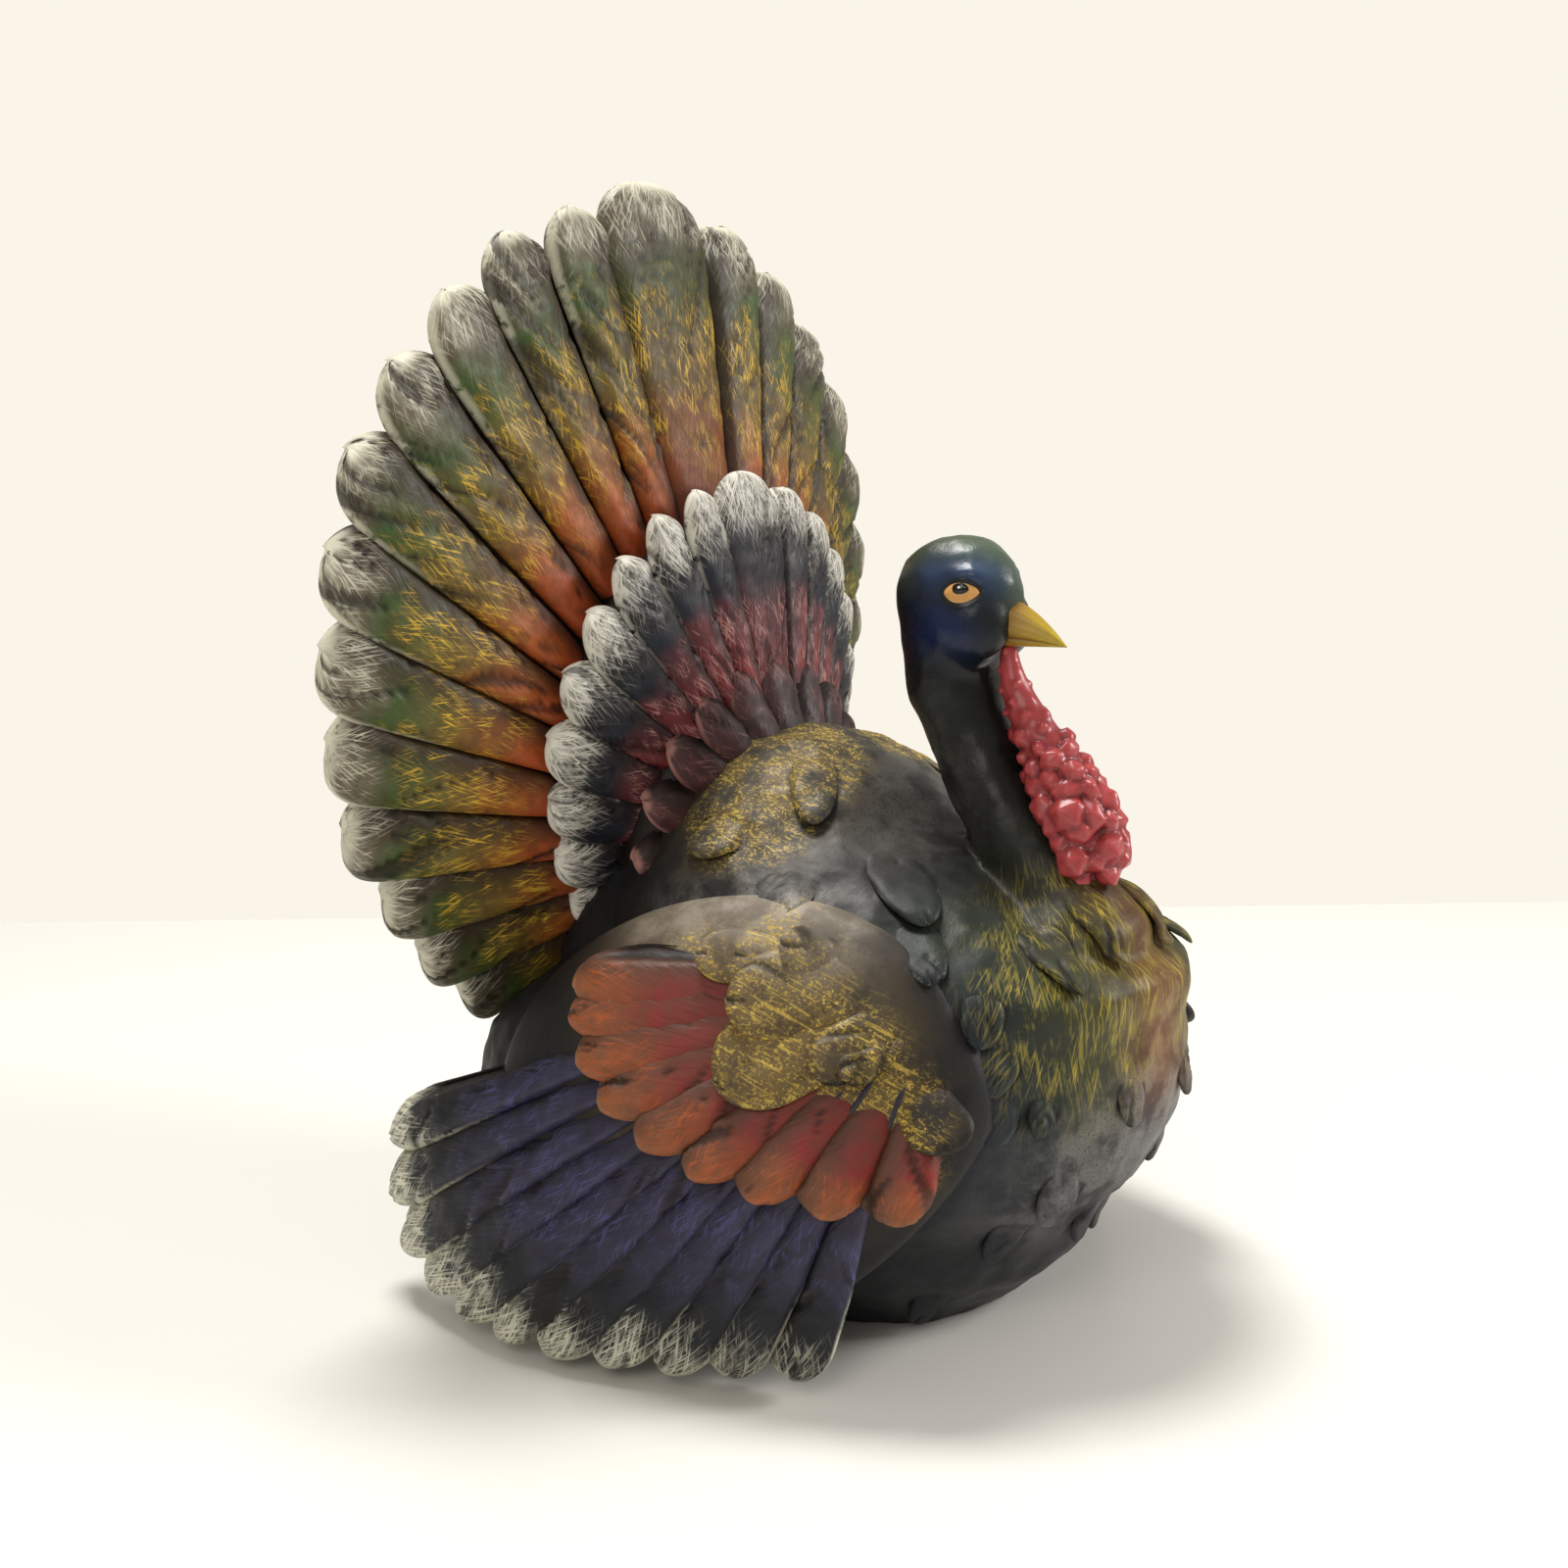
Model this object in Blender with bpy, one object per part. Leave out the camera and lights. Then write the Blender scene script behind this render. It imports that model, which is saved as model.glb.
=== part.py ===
"""Cast resin turkey figurine with a fanned tail, folded wings and a heavy wattle.

The bird faces -Y and stands on a flat underside at z = 0, with X across it. The casting is
one piece, so every form is built as a closed shell that overlaps its neighbours, the shells
are fused into one skin, and a block trims the underside flat.
"""

import math

import bpy
import numpy as np

# Overall sizes, metres
HEIGHT = 0.254
BODY_HEIGHT = 0.127
BODY_LENGTH = 0.1393
BODY_WIDTH = 0.124
BASE_RADIUS = 0.035
BREAST_Y = -0.0725

# Tail: three rows of feathers on cones that open backwards from the rump
TAIL_RADIUS = 0.1005
TAIL_CREST = 0.0035
TAIL_PAIRS = 13
TAIL_FEATHER_THICKNESS = 0.0048
COVERT_RADIUS = 0.057
COVERT_PAIRS = 10
LOBE_RADIUS = 0.0455
LOBE_PAIRS = 8
SMALL_FEATHER_THICKNESS = 0.0042
SCALE_RELIEF = 0.0018

# Head, beak and wattle
HEAD_LENGTH = 0.0298
HEAD_WIDTH = 0.0235
HEAD_HEIGHT = 0.0285
CROWN_Z = 0.172
NECK_RADIUS = 0.0100
BEAK_LENGTH = 0.0155
WATTLE_RADIUS = 0.0104

# Wings
WING_SPAN_X = 0.160
WING_TIP_LIFT = 0.0045
WING_THICKNESS = 0.010
PRIMARY_COUNT = 11
PRIMARY_THICKNESS = 0.0052
WING_COVERT_COUNT = 9
SHOULDER_BULGE = 0.25
LEAF_THICKNESS = 0.0040
LEAF_LIFT = 0.0065

# Faceting of the finished skin
FUSE_SIZE = 0.0015
FACET_COUNT = 8600

# Places that follow from the sizes above
TAIL_CENTRE_Z = HEIGHT - TAIL_RADIUS - TAIL_CREST
BODY_Y = BREAST_Y + BODY_LENGTH * 0.5
HUB_Y = BODY_Y + BODY_LENGTH * 0.270
HUB_Z = BODY_HEIGHT * 0.80
HEAD_Z = CROWN_Z - HEAD_HEIGHT * 0.5
HEAD_Y = BODY_Y - BODY_LENGTH * 0.136
WING_FULL_Y = BODY_Y + BODY_LENGTH * 0.224
WRIST_Y = BODY_Y - BODY_LENGTH * 0.231
WRIST_Z = BODY_HEIGHT * 0.56
WING_REAR_Y = BODY_Y + BODY_LENGTH * 0.625
WING_TIPS_Z = BODY_HEIGHT * 0.28

# Body sections: height, centre, half length and half width, each as a share of the body's own
BODY_SECTIONS = (
    (0.000, 0.023, None, None),
    (0.055, 0.036, 0.325, 0.340),
    (0.100, 0.036, 0.372, 0.382),
    (0.180, 0.038, 0.410, 0.430),
    (0.285, 0.012, 0.465, 0.475),
    (0.420, 0.000, 0.500, 0.500),
    (0.550, 0.000, 0.500, 0.495),
    (0.640, 0.000, 0.495, 0.475),
    (0.750, 0.075, 0.400, 0.415),
    (0.850, 0.140, 0.270, 0.320),
    (0.930, 0.150, 0.190, 0.225),
    (0.985, 0.155, 0.100, 0.115),
    (1.000, 0.155, 0.010, 0.010),
)

# Neck stations: distance before the body's centre and height, as shares, and radius over its own
NECK_STATIONS = (
    (0.215, 0.480, 3.60),
    (0.270, 0.630, 3.00),
    (0.294, 0.710, 2.10),
    (0.297, 0.765, 1.44),
    (0.250, 0.845, 1.12),
    (0.190, 0.945, 1.00),
    (0.150, 1.025, 1.00),
    (0.127, 1.090, 1.05),
    (0.122, 1.180, 1.12),
)

# Scale feathers on one side: degrees round from the breast, height as a share, and length
# as a share of the body's height
SCALE_SPOTS = (
    (10, 0.70, 0.11),
    (24, 0.68, 0.12),
    (12, 0.45, 0.11),
    (33, 0.45, 0.08),
    (24, 0.30, 0.13),
    (30, 0.21, 0.11),
    (4, 0.20, 0.10),
    (42, 0.07, 0.10),
    (41, 0.79, 0.17),
    (49, 0.70, 0.13),
    (47, 0.585, 0.09),
    (46, 0.51, 0.09),
    (50, 0.91, 0.13),
    (88, 0.84, 0.16),
    (70, 0.77, 0.15),
)

# Leaf shapes on the wing's shoulder: how far ahead of the body's centre the tip lies and its
# height, length and half width as shares of the body, and the heading's dip in degrees
SHOULDER_LEAVES = (
    (-0.030, 0.681, 0.150, 0.032, -5),
    (0.088, 0.712, 0.080, 0.021, 16),
    (0.034, 0.625, 0.190, 0.056, -11),
    (0.038, 0.510, 0.200, 0.064, -31),
    (0.171, 0.530, 0.120, 0.044, -43),
    (0.209, 0.526, 0.110, 0.038, -51),
    (0.341, 0.428, 0.110, 0.038, -117),
)


def smooth_through(stations, at):
    """Value at a position on the smooth curve through (position, value) stations."""
    places = [place for place, _ in stations]
    values = [value for _, value in stations]
    if at <= places[0]:
        return values[0]
    if at >= places[-1]:
        return values[-1]
    i = max(k for k in range(len(places) - 1) if places[k] <= at)
    last = len(places) - 1
    before = max(i - 1, 0)
    after = min(i + 2, last)
    span = places[i + 1] - places[i]
    t = (at - places[i]) / span
    slope_in = (values[i + 1] - values[before]) / (places[i + 1] - places[before]) * span
    slope_out = (values[after] - values[i]) / (places[after] - places[i]) * span
    rise = values[i + 1] - values[i]
    return (
        values[i]
        + t * slope_in
        + t * t * (3 * rise - 2 * slope_in - slope_out)
        + t * t * t * (slope_in + slope_out - 2 * rise)
    )


# The lowest section is the base disc, so its size comes from the disc's own radius
BODY_CURVES = (
    [(row[0], row[1]) for row in BODY_SECTIONS],
    [(row[0], BASE_RADIUS * 1.02 / BODY_LENGTH if row[2] is None else row[2]) for row in BODY_SECTIONS],
    [(row[0], BASE_RADIUS / BODY_WIDTH if row[3] is None else row[3]) for row in BODY_SECTIONS],
)


def loft(rings, bottom, top):
    """Closed shell through rings of points, with a point that closes each end."""
    count = len(rings[0])
    points = [tuple(point) for ring in rings for point in ring]
    faces = []
    for row in range(len(rings) - 1):
        for k in range(count):
            a = row * count + k
            b = row * count + (k + 1) % count
            faces.append((a, b, b + count, a + count))
    first = len(points)
    points += [tuple(bottom), tuple(top)]
    upper = (len(rings) - 1) * count
    for k in range(count):
        after = (k + 1) % count
        faces.append((first, after, k))
        faces.append((first + 1, upper + k, upper + after))
    return points, faces


def body_section(share):
    """Centre, half length and half width of the body at a share of its height."""
    centre, length, width = (smooth_through(curve, share) for curve in BODY_CURVES)
    return BODY_Y + centre * BODY_LENGTH, length * BODY_LENGTH, width * BODY_WIDTH


def body_point(turn, height):
    """Point on the body: turn is the angle from the breast, positive towards +X."""
    centre, length, width = body_section(height / BODY_HEIGHT)
    return np.array((width * math.sin(turn), centre - length * math.cos(turn), height))


def body_shell():
    turns = [2 * math.pi * k / 48 for k in range(48)]
    shares = [math.sin(0.5 * math.pi * k / 22) for k in range(22)]
    rings = [[body_point(turn, BODY_HEIGHT * share) for turn in turns] for share in shares]
    bottom = (0, body_section(0)[0], 0)
    top = (0, body_section(1)[0], BODY_HEIGHT)
    return loft(rings, bottom, top)


def neck_shell():
    rings = []
    steps = 20
    last = len(NECK_STATIONS) - 1
    for step in range(steps + 1):
        at = last * step / steps
        ahead, height, radius = (
            smooth_through([(k, row[column]) for k, row in enumerate(NECK_STATIONS)], at)
            for column in range(3)
        )
        y = BODY_Y - ahead * BODY_LENGTH
        z = height * BODY_HEIGHT
        tilt = math.radians(30) * (1 - step / steps)
        reach = radius * NECK_RADIUS
        ring = []
        for k in range(24):
            turn = 2 * math.pi * k / 24
            forward = -reach * math.cos(turn)
            ring.append(
                (
                    reach * math.sin(turn),
                    y + forward * math.cos(tilt),
                    z - forward * math.sin(tilt) * 0.6,
                )
            )
        rings.append(ring)
    low = np.mean(rings[0], axis=0)
    high = np.mean(rings[-1], axis=0)
    return loft(rings, low, high)


def ellipsoid(centre, radii, rings=12, sides=18):
    """Closed ellipsoid about a centre."""
    shell = []
    for row in range(1, rings):
        lift = math.pi * (row / rings - 0.5)
        shell.append(
            [
                (
                    centre[0] + radii[0] * math.cos(lift) * math.sin(2 * math.pi * k / sides),
                    centre[1] - radii[1] * math.cos(lift) * math.cos(2 * math.pi * k / sides),
                    centre[2] + radii[2] * math.sin(lift),
                )
                for k in range(sides)
            ]
        )
    low = (centre[0], centre[1], centre[2] - radii[2])
    high = (centre[0], centre[1], centre[2] + radii[2])
    return loft(shell, low, high)


def head_shells():
    radii = (HEAD_WIDTH / 2, HEAD_LENGTH / 2, HEAD_HEIGHT / 2)
    shells = [ellipsoid((0, HEAD_Y, HEAD_Z), radii)]
    for side in (-1, 1):
        cheek = (side * HEAD_WIDTH * 0.22, HEAD_Y - HEAD_LENGTH * 0.10, HEAD_Z - HEAD_HEIGHT * 0.17)
        shells.append(ellipsoid(cheek, (radii[0] * 0.62, radii[1] * 0.78, radii[2] * 0.70)))
        brow = (side * HEAD_WIDTH * 0.30, HEAD_Y - HEAD_LENGTH * 0.12, HEAD_Z + HEAD_HEIGHT * 0.20)
        shells.append(ellipsoid(brow, (radii[0] * 0.32, radii[1] * 0.50, radii[2] * 0.20)))
        eye = (side * HEAD_WIDTH * 0.40, HEAD_Y - HEAD_LENGTH * 0.10, HEAD_Z + HEAD_HEIGHT * 0.02)
        shells.append(ellipsoid(eye, (radii[0] * 0.16, radii[1] * 0.22, radii[2] * 0.16)))
    return shells


def beak_shell():
    root_y = HEAD_Y - HEAD_LENGTH * 0.36
    root_z = HEAD_Z - HEAD_HEIGHT * 0.15
    rings = []
    steps = 8
    for step in range(steps):
        share = step / steps
        size = BEAK_LENGTH * 0.34 * (1 - share ** 1.7)
        drop = BEAK_LENGTH * (0.08 * share + 0.24 * share * share)
        rings.append(
            [
                (
                    size * 0.86 * math.sin(2 * math.pi * k / 14),
                    root_y - BEAK_LENGTH * share,
                    root_z - drop - size * math.cos(2 * math.pi * k / 14),
                )
                for k in range(14)
            ]
        )
    tip = (0, root_y - BEAK_LENGTH, root_z - BEAK_LENGTH * 0.32)
    return loft(rings, (0, root_y + BEAK_LENGTH * 0.1, root_z), tip)


def wattle_shells():
    """A hanging core that swells downwards, covered with carved lumps."""
    top_y = HEAD_Y - HEAD_LENGTH * 0.41
    top_z = HEAD_Z - HEAD_HEIGHT * 0.38
    foot_y = top_y - WATTLE_RADIUS * 1.75
    foot_z = BODY_HEIGHT * 0.832
    shells = []
    steps = 9
    for step in range(steps):
        share = step / (steps - 1)
        y = top_y + (foot_y - top_y) * math.sin(0.5 * math.pi * share) ** 1.9
        z = top_z + (foot_z - top_z) * share
        size = WATTLE_RADIUS * (0.26 + 0.66 * share ** 0.95)
        shells.append(ellipsoid((0, y, z), (size, size, size * 1.05), 8, 12))
        lumps = 3 + 2 * step // 3
        for k in range(lumps):
            turn = math.radians(-125 + 250 * (k + 0.5 * (step % 2)) / max(lumps - 0.5, 1))
            lump = (
                size * 0.80 * math.sin(turn),
                y - size * 0.80 * math.cos(turn),
                z,
            )
            knob = size * 0.36
            shells.append(ellipsoid(lump, (knob, knob, knob), 6, 8))
    return shells


def surface_frame(surface, a, b):
    """Point and outward normal of a surface at its two chart coordinates."""
    step = 0.0005
    here = surface(a, b)
    along_a = surface(a + step, b) - surface(a - step, b)
    along_b = surface(a, b + step) - surface(a, b - step)
    normal = np.cross(along_a, along_b)
    return here, normal / np.linalg.norm(normal)


def laid_feather(surface, root, tip, half_width, thickness, roll, lift, root_share, sink=0.0):
    """Closed feather on a surface: root, tip and half width are in the surface's chart.

    A positive roll raises the side to the left of the run from root to tip, lift raises the
    tip over the surface, and sink buries the root in it. The feather is crowned across and
    keeps its thickness to its round end.
    """
    rows = 9
    columns = 6
    root = np.array(root)
    tip = np.array(tip)
    run = tip - root
    length = float(np.linalg.norm(run))
    run = run / length
    left = np.array((-run[1], run[0]))
    round_share = min(1.05 * half_width / length, 0.6)
    upper = []
    lower = []
    for row in range(rows + 1):
        share = 1 - (1 - row / rows) ** 1.6
        start = 1 - round_share
        width = half_width * (root_share + (1 - root_share) * min(share / start, 1.0) ** 0.8)
        if share > start:
            width *= math.sqrt(max(1 - ((share - start) / round_share) ** 2, 0.06))
        for column in range(columns + 1):
            v = 2 * column / columns - 1
            spot = root + run * length * share + left * width * v
            point, normal = surface_frame(surface, spot[0], spot[1])
            rise = lift * share - sink * (1 - share) + roll * v * width
            crown = thickness * (0.5 + 0.5 * (1 - v * v))
            upper.append(point + normal * (rise + crown))
            lower.append(point + normal * (rise - thickness * 0.5))
    points = upper + lower
    count = len(upper)
    wide = columns + 1
    faces = []
    for row in range(rows):
        for column in range(columns):
            a = row * wide + column
            faces.append((a, a + 1, a + 1 + wide, a + wide))
            faces.append((count + a, count + a + wide, count + a + 1 + wide, count + a + 1))
    edge = [(row * wide, (row + 1) * wide) for row in range(rows)]
    edge += [(rows * wide + column, rows * wide + column + 1) for column in range(columns)]
    edge += [((row + 1) * wide - 1 + wide, (row + 1) * wide - 1) for row in reversed(range(rows))]
    edge += [(column + 1, column) for column in reversed(range(columns))]
    for a, b in edge:
        faces.append((a, b, b + count, a + count))
    return points, faces


class TailRow:
    """One row of tail feathers: a cone from the hub to a leaning round rim."""

    def __init__(self, radius, centre_z, hub_y, rim_y, lean, pairs, first_angle, last_angle, crowding):
        self.radius = radius
        self.centre_z = centre_z
        self.hub_y = hub_y
        self.rim_y = rim_y
        self.lean = lean
        self.pairs = pairs
        self.first_angle = math.radians(first_angle)
        self.last_angle = math.radians(last_angle)
        self.crowding = crowding

    def rim_reach(self, turn):
        """Distance from the hub to the rim at an angle from straight up."""
        drop = self.centre_z - HUB_Z
        return drop * math.cos(turn) + math.sqrt(self.radius ** 2 - (drop * math.sin(turn)) ** 2)

    def surface(self, x, z):
        rise = z - HUB_Z
        reach = math.hypot(x, rise)
        turn = math.atan2(x, rise)
        rim = self.rim_reach(turn)
        rim_z = HUB_Z + rim * math.cos(turn)
        back = self.rim_y + self.lean * (rim_z - self.centre_z) - self.hub_y
        return np.array((x, self.hub_y + back * reach / rim, z))

    def angle(self, k):
        """Angle of the feather k from the top, a little closer together lower down."""
        share = k / (self.pairs - 1)
        sweep = self.last_angle - self.first_angle
        return self.first_angle + sweep * share * (1 + self.crowding * (1 - share))

    def rim_spot(self, angle, radius):
        return radius * math.sin(angle), self.centre_z + radius * math.cos(angle)

    def feathers(self, thickness, crest, roll, lift, root_share, overlap):
        """The row's feathers, widest at the centre, each side lapping the next one down."""
        shells = []
        for k in range(self.pairs - 1, -1, -1):
            angle = self.angle(k)
            half_width = overlap * self.radius * (self.angle(k + 0.5) - self.angle(k - 0.5)) / 2
            for side in (-1, 1):
                spot = self.rim_spot(side * angle, self.radius)
                root = (spot[0] * 0.10, HUB_Z + (spot[1] - HUB_Z) * 0.10)
                shells.append(
                    laid_feather(
                        self.surface, root, spot, half_width, thickness, side * -roll, lift, root_share
                    )
                )
        half_width = overlap * self.radius * self.angle(-0.5)
        spot = self.rim_spot(0, self.radius + crest)
        shells.append(
            laid_feather(
                self.surface, (0, HUB_Z * 1.05), spot, half_width, thickness * 1.2, 0, lift, root_share
            )
        )
        return shells

    def backing(self, thickness, reach):
        """Plain plate behind the feathers, from the hub to a share of the rim."""
        turns = [2 * math.pi * k / 72 for k in range(72)]
        rings = []
        for share in (0.15, 0.4, 0.7, reach):
            ring = []
            for turn in turns:
                out = self.rim_reach(turn) * share
                ring.append(self.surface(out * math.sin(turn), HUB_Z + out * math.cos(turn)))
            rings.append(ring)
        behind = np.array((0, thickness, 0))
        shell = [list(ring) for ring in rings]
        shell += [[point + behind for point in ring] for ring in reversed(rings)]
        hub = np.array((0, self.hub_y, HUB_Z))
        points, faces = loft(shell, hub, hub + behind)
        return points, [face[::-1] for face in faces]


TAIL = TailRow(
    radius=TAIL_RADIUS,
    centre_z=TAIL_CENTRE_Z,
    hub_y=HUB_Y,
    rim_y=HUB_Y + TAIL_RADIUS * 0.385,
    lean=-0.07,
    pairs=TAIL_PAIRS,
    first_angle=16.5,
    last_angle=157.0,
    crowding=0.10,
)
COVERTS = TailRow(
    radius=COVERT_RADIUS,
    centre_z=HUB_Z + COVERT_RADIUS * 0.445,
    hub_y=HUB_Y - COVERT_RADIUS * 0.17,
    rim_y=HUB_Y + COVERT_RADIUS * 0.24,
    lean=-0.18,
    pairs=COVERT_PAIRS,
    first_angle=17.5,
    last_angle=146.0,
    crowding=0.0,
)
LOBES = TailRow(
    radius=LOBE_RADIUS,
    centre_z=HUB_Z - LOBE_RADIUS * 0.11,
    hub_y=HUB_Y - LOBE_RADIUS * 0.40,
    rim_y=HUB_Y + LOBE_RADIUS * 0.02,
    lean=-0.10,
    pairs=LOBE_PAIRS,
    first_angle=17.0,
    last_angle=136.0,
    crowding=0.0,
)


def tail_shells():
    shells = [TAIL.backing(TAIL_FEATHER_THICKNESS * 1.1, 0.95)]
    shells += TAIL.feathers(TAIL_FEATHER_THICKNESS, TAIL_CREST, 0.16, 0.0, 0.12, 1.08)
    shells.append(COVERTS.backing(SMALL_FEATHER_THICKNESS * 2.2, 0.93))
    shells += COVERTS.feathers(SMALL_FEATHER_THICKNESS, COVERT_RADIUS * 0.03, 0.18, 0.0, 0.25, 1.08)
    shells.append(LOBES.backing(SMALL_FEATHER_THICKNESS * 2.4, 0.88))
    shells += LOBES.feathers(SMALL_FEATHER_THICKNESS, 0.0, 0.15, 0.0, 0.4, 1.0)
    return shells


def wing_half_width(y, z):
    """How far the wing's skin stands from the middle plane."""
    half = WING_SPAN_X / 2
    front = max((WING_FULL_Y - y) / (BODY_LENGTH * 0.58), 0)
    rear = max((y - WING_FULL_Y) / (BODY_LENGTH * 0.42), 0)
    above = max((z - BODY_HEIGHT * 0.17) / (BODY_HEIGHT * 0.60), 0)
    bulge = SHOULDER_BULGE * front * above
    return half * (1 - 0.42 * front ** 1.5 - 0.20 * rear ** 2 - 0.35 * above ** 2 + bulge)


def squared_arc(centre, reach_y, reach_z, power, count, crowding=1.0):
    """Points on a squared quarter arc from the rear round to straight down.

    They are evenly spaced at a crowding of 1, and closer together at the rear above that.
    """
    steps = 400
    turns = [0.5 * math.pi * k / steps for k in range(steps + 1)]
    path = [
        (
            centre[0] + reach_y * math.cos(turn) ** (2 / power) if turn < turns[-1] else centre[0],
            centre[1] - reach_z * math.sin(turn) ** (2 / power),
        )
        for turn in turns
    ]
    travelled = [0.0]
    for before, after in zip(path, path[1:]):
        travelled.append(travelled[-1] + math.dist(before, after))
    spots = []
    for k in range(count):
        goal = travelled[-1] * (k / (count - 1)) ** crowding
        spots.append(path[min(range(steps + 1), key=lambda i: abs(travelled[i] - goal))])
    return spots


def wing_shells(side):
    """Wing plate, primaries along its lower edge and the covert shield on its shoulder."""

    def skin(y, z):
        return np.array((side * wing_half_width(y, z), y, z))

    def placed(root, tip, half_width, thickness, roll, lift, root_share):
        points, faces = laid_feather(
            skin, root, tip, half_width, thickness, -roll, lift, root_share
        )
        if side < 0:
            return mirrored_normals(skin, points, faces)
        return points, faces

    shells = [wing_plate(skin)]
    centre = (WRIST_Y + BODY_LENGTH * 0.105, WING_TIPS_Z)
    tips = squared_arc(centre, WING_REAR_Y - centre[0], WING_TIPS_Z - WING_TIP_LIFT, 4.2, PRIMARY_COUNT)
    for k in range(PRIMARY_COUNT - 1, -1, -1):
        share = k / (PRIMARY_COUNT - 1)
        root = (
            WRIST_Y + BODY_LENGTH * (0.12 - 0.16 * share),
            WRIST_Z + BODY_HEIGHT * (0.10 - 0.14 * share),
        )
        half_width = BODY_HEIGHT * (0.058 + 0.024 * math.sin(math.pi * share))
        shells.append(placed(root, tips[k], half_width, PRIMARY_THICKNESS, 0.30, 0.003, 0.5))
    centre = (WRIST_Y - BODY_LENGTH * 0.033, WRIST_Z + BODY_HEIGHT * 0.045)
    tips = squared_arc(
        centre, BODY_LENGTH * 0.474, BODY_HEIGHT * 0.284, 2.05, WING_COVERT_COUNT, crowding=1.26
    )
    for k in range(WING_COVERT_COUNT - 1, -1, -1):
        share = k / (WING_COVERT_COUNT - 1)
        root = (WRIST_Y - BODY_LENGTH * 0.10 * share, WRIST_Z + BODY_HEIGHT * 0.12)
        shells.append(placed(root, tips[k], BODY_HEIGHT * 0.058, PRIMARY_THICKNESS, 0.16, 0.008, 0.6))
    for ahead, height, length, half_width, dip in SHOULDER_LEAVES:
        tip = (BODY_Y - ahead * BODY_LENGTH, height * BODY_HEIGHT)
        reach = length * BODY_LENGTH
        root = (
            tip[0] - reach * math.cos(math.radians(dip)),
            tip[1] - reach * math.sin(math.radians(dip)),
        )
        shells.append(
            placed(root, tip, half_width * BODY_LENGTH, LEAF_THICKNESS, 0.10, LEAF_LIFT, 0.7)
        )
    return shells


def mirrored_normals(skin, points, faces):
    """Reflect a feather through its skin, so that it stands outside on the -X side."""
    turned = []
    for point in points:
        foot = skin(point[1], point[2])
        turned.append(np.array((2 * foot[0] - point[0], point[1], point[2])))
    return turned, [face[::-1] for face in faces]


def wing_plate(skin):
    """Thick oval plate under the wing's feathers, with a rounded front and top edge."""
    centre = (BODY_Y - BODY_LENGTH * 0.03, BODY_HEIGHT * 0.44)
    reach_front = BODY_LENGTH * 0.35
    reach_rear = BODY_LENGTH * 0.42
    reach_up = BODY_HEIGHT * 0.33
    reach_down = BODY_HEIGHT * 0.36
    turns = [2 * math.pi * k / 40 for k in range(40)]
    rings = []
    for share, depth in ((0.55, -1.6), (0.92, -1.0), (1.0, -0.45), (0.97, 0.0), (0.8, 0.34), (0.5, 0.45)):
        ring = []
        for turn in turns:
            across = math.cos(turn)
            up = math.sin(turn)
            y = centre[0] + share * across * (reach_rear if across > 0 else reach_front)
            z = centre[1] + share * up * (reach_up if up > 0 else reach_down)
            point = skin(y, z)
            outward = math.copysign(1, point[0])
            ring.append((point[0] + outward * depth * WING_THICKNESS, y, z))
        rings.append(ring)
    return loft(rings, np.mean(rings[0], axis=0), np.mean(rings[-1], axis=0))


def flank_shells():
    """The thighs fill the space between the body and the standing wings."""
    shells = []
    for side in (-1, 1):
        centre = (side * BODY_WIDTH * 0.36, BODY_Y + BODY_LENGTH * 0.22, BODY_HEIGHT * 0.36)
        radii = (BODY_WIDTH * 0.20, BODY_LENGTH * 0.36, BODY_HEIGHT * 0.27)
        shells.append(ellipsoid(centre, radii))
    rump = (0, BODY_Y + BODY_LENGTH * 0.29, BODY_HEIGHT * 0.52)
    shells.append(ellipsoid(rump, (BODY_WIDTH * 0.40, BODY_LENGTH * 0.30, BODY_HEIGHT * 0.42)))
    return shells


def scale_shells():
    """Sparse carved scale feathers on the breast, shoulders and back, tips down or backwards."""

    def skin(turn_length, height):
        return body_point(turn_length / (BODY_WIDTH * 0.5), height)

    shells = []
    for turn, share, size in SCALE_SPOTS:
        for side in (-1, 1):
            middle = np.array((side * math.radians(turn) * BODY_WIDTH * 0.5, BODY_HEIGHT * share))
            swing = side * math.radians(60) * min(turn / 90, 1)
            reach = BODY_HEIGHT * size * np.array((math.sin(swing), -math.cos(swing)))
            shells.append(
                laid_feather(
                    skin,
                    middle - reach * 0.6,
                    middle + reach * 0.4,
                    BODY_HEIGHT * size * 0.42,
                    SCALE_RELIEF,
                    roll=0.0,
                    lift=SCALE_RELIEF,
                    root_share=0.7,
                    sink=SCALE_RELIEF,
                )
            )
    return shells


def join_shells(name, shells):
    """One mesh object that holds every shell, each still closed by itself."""
    points = []
    faces = []
    for shell_points, shell_faces in shells:
        offset = len(points)
        points += [tuple(point) for point in shell_points]
        faces += [tuple(index + offset for index in face) for face in shell_faces]
    mesh = bpy.data.meshes.new(name)
    mesh.from_pydata(points, [], faces)
    mesh.validate()
    made = bpy.data.objects.new(name, mesh)
    bpy.context.scene.collection.objects.link(made)
    return made


def resin_material():
    material = bpy.data.materials.new("painted_resin")
    material.use_nodes = True
    shader = material.node_tree.nodes["Principled BSDF"]
    shader.inputs["Base Color"].default_value = (0.075, 0.050, 0.035, 1)
    shader.inputs["Roughness"].default_value = 0.45
    shader.inputs["Metallic"].default_value = 0.0
    return material


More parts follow.
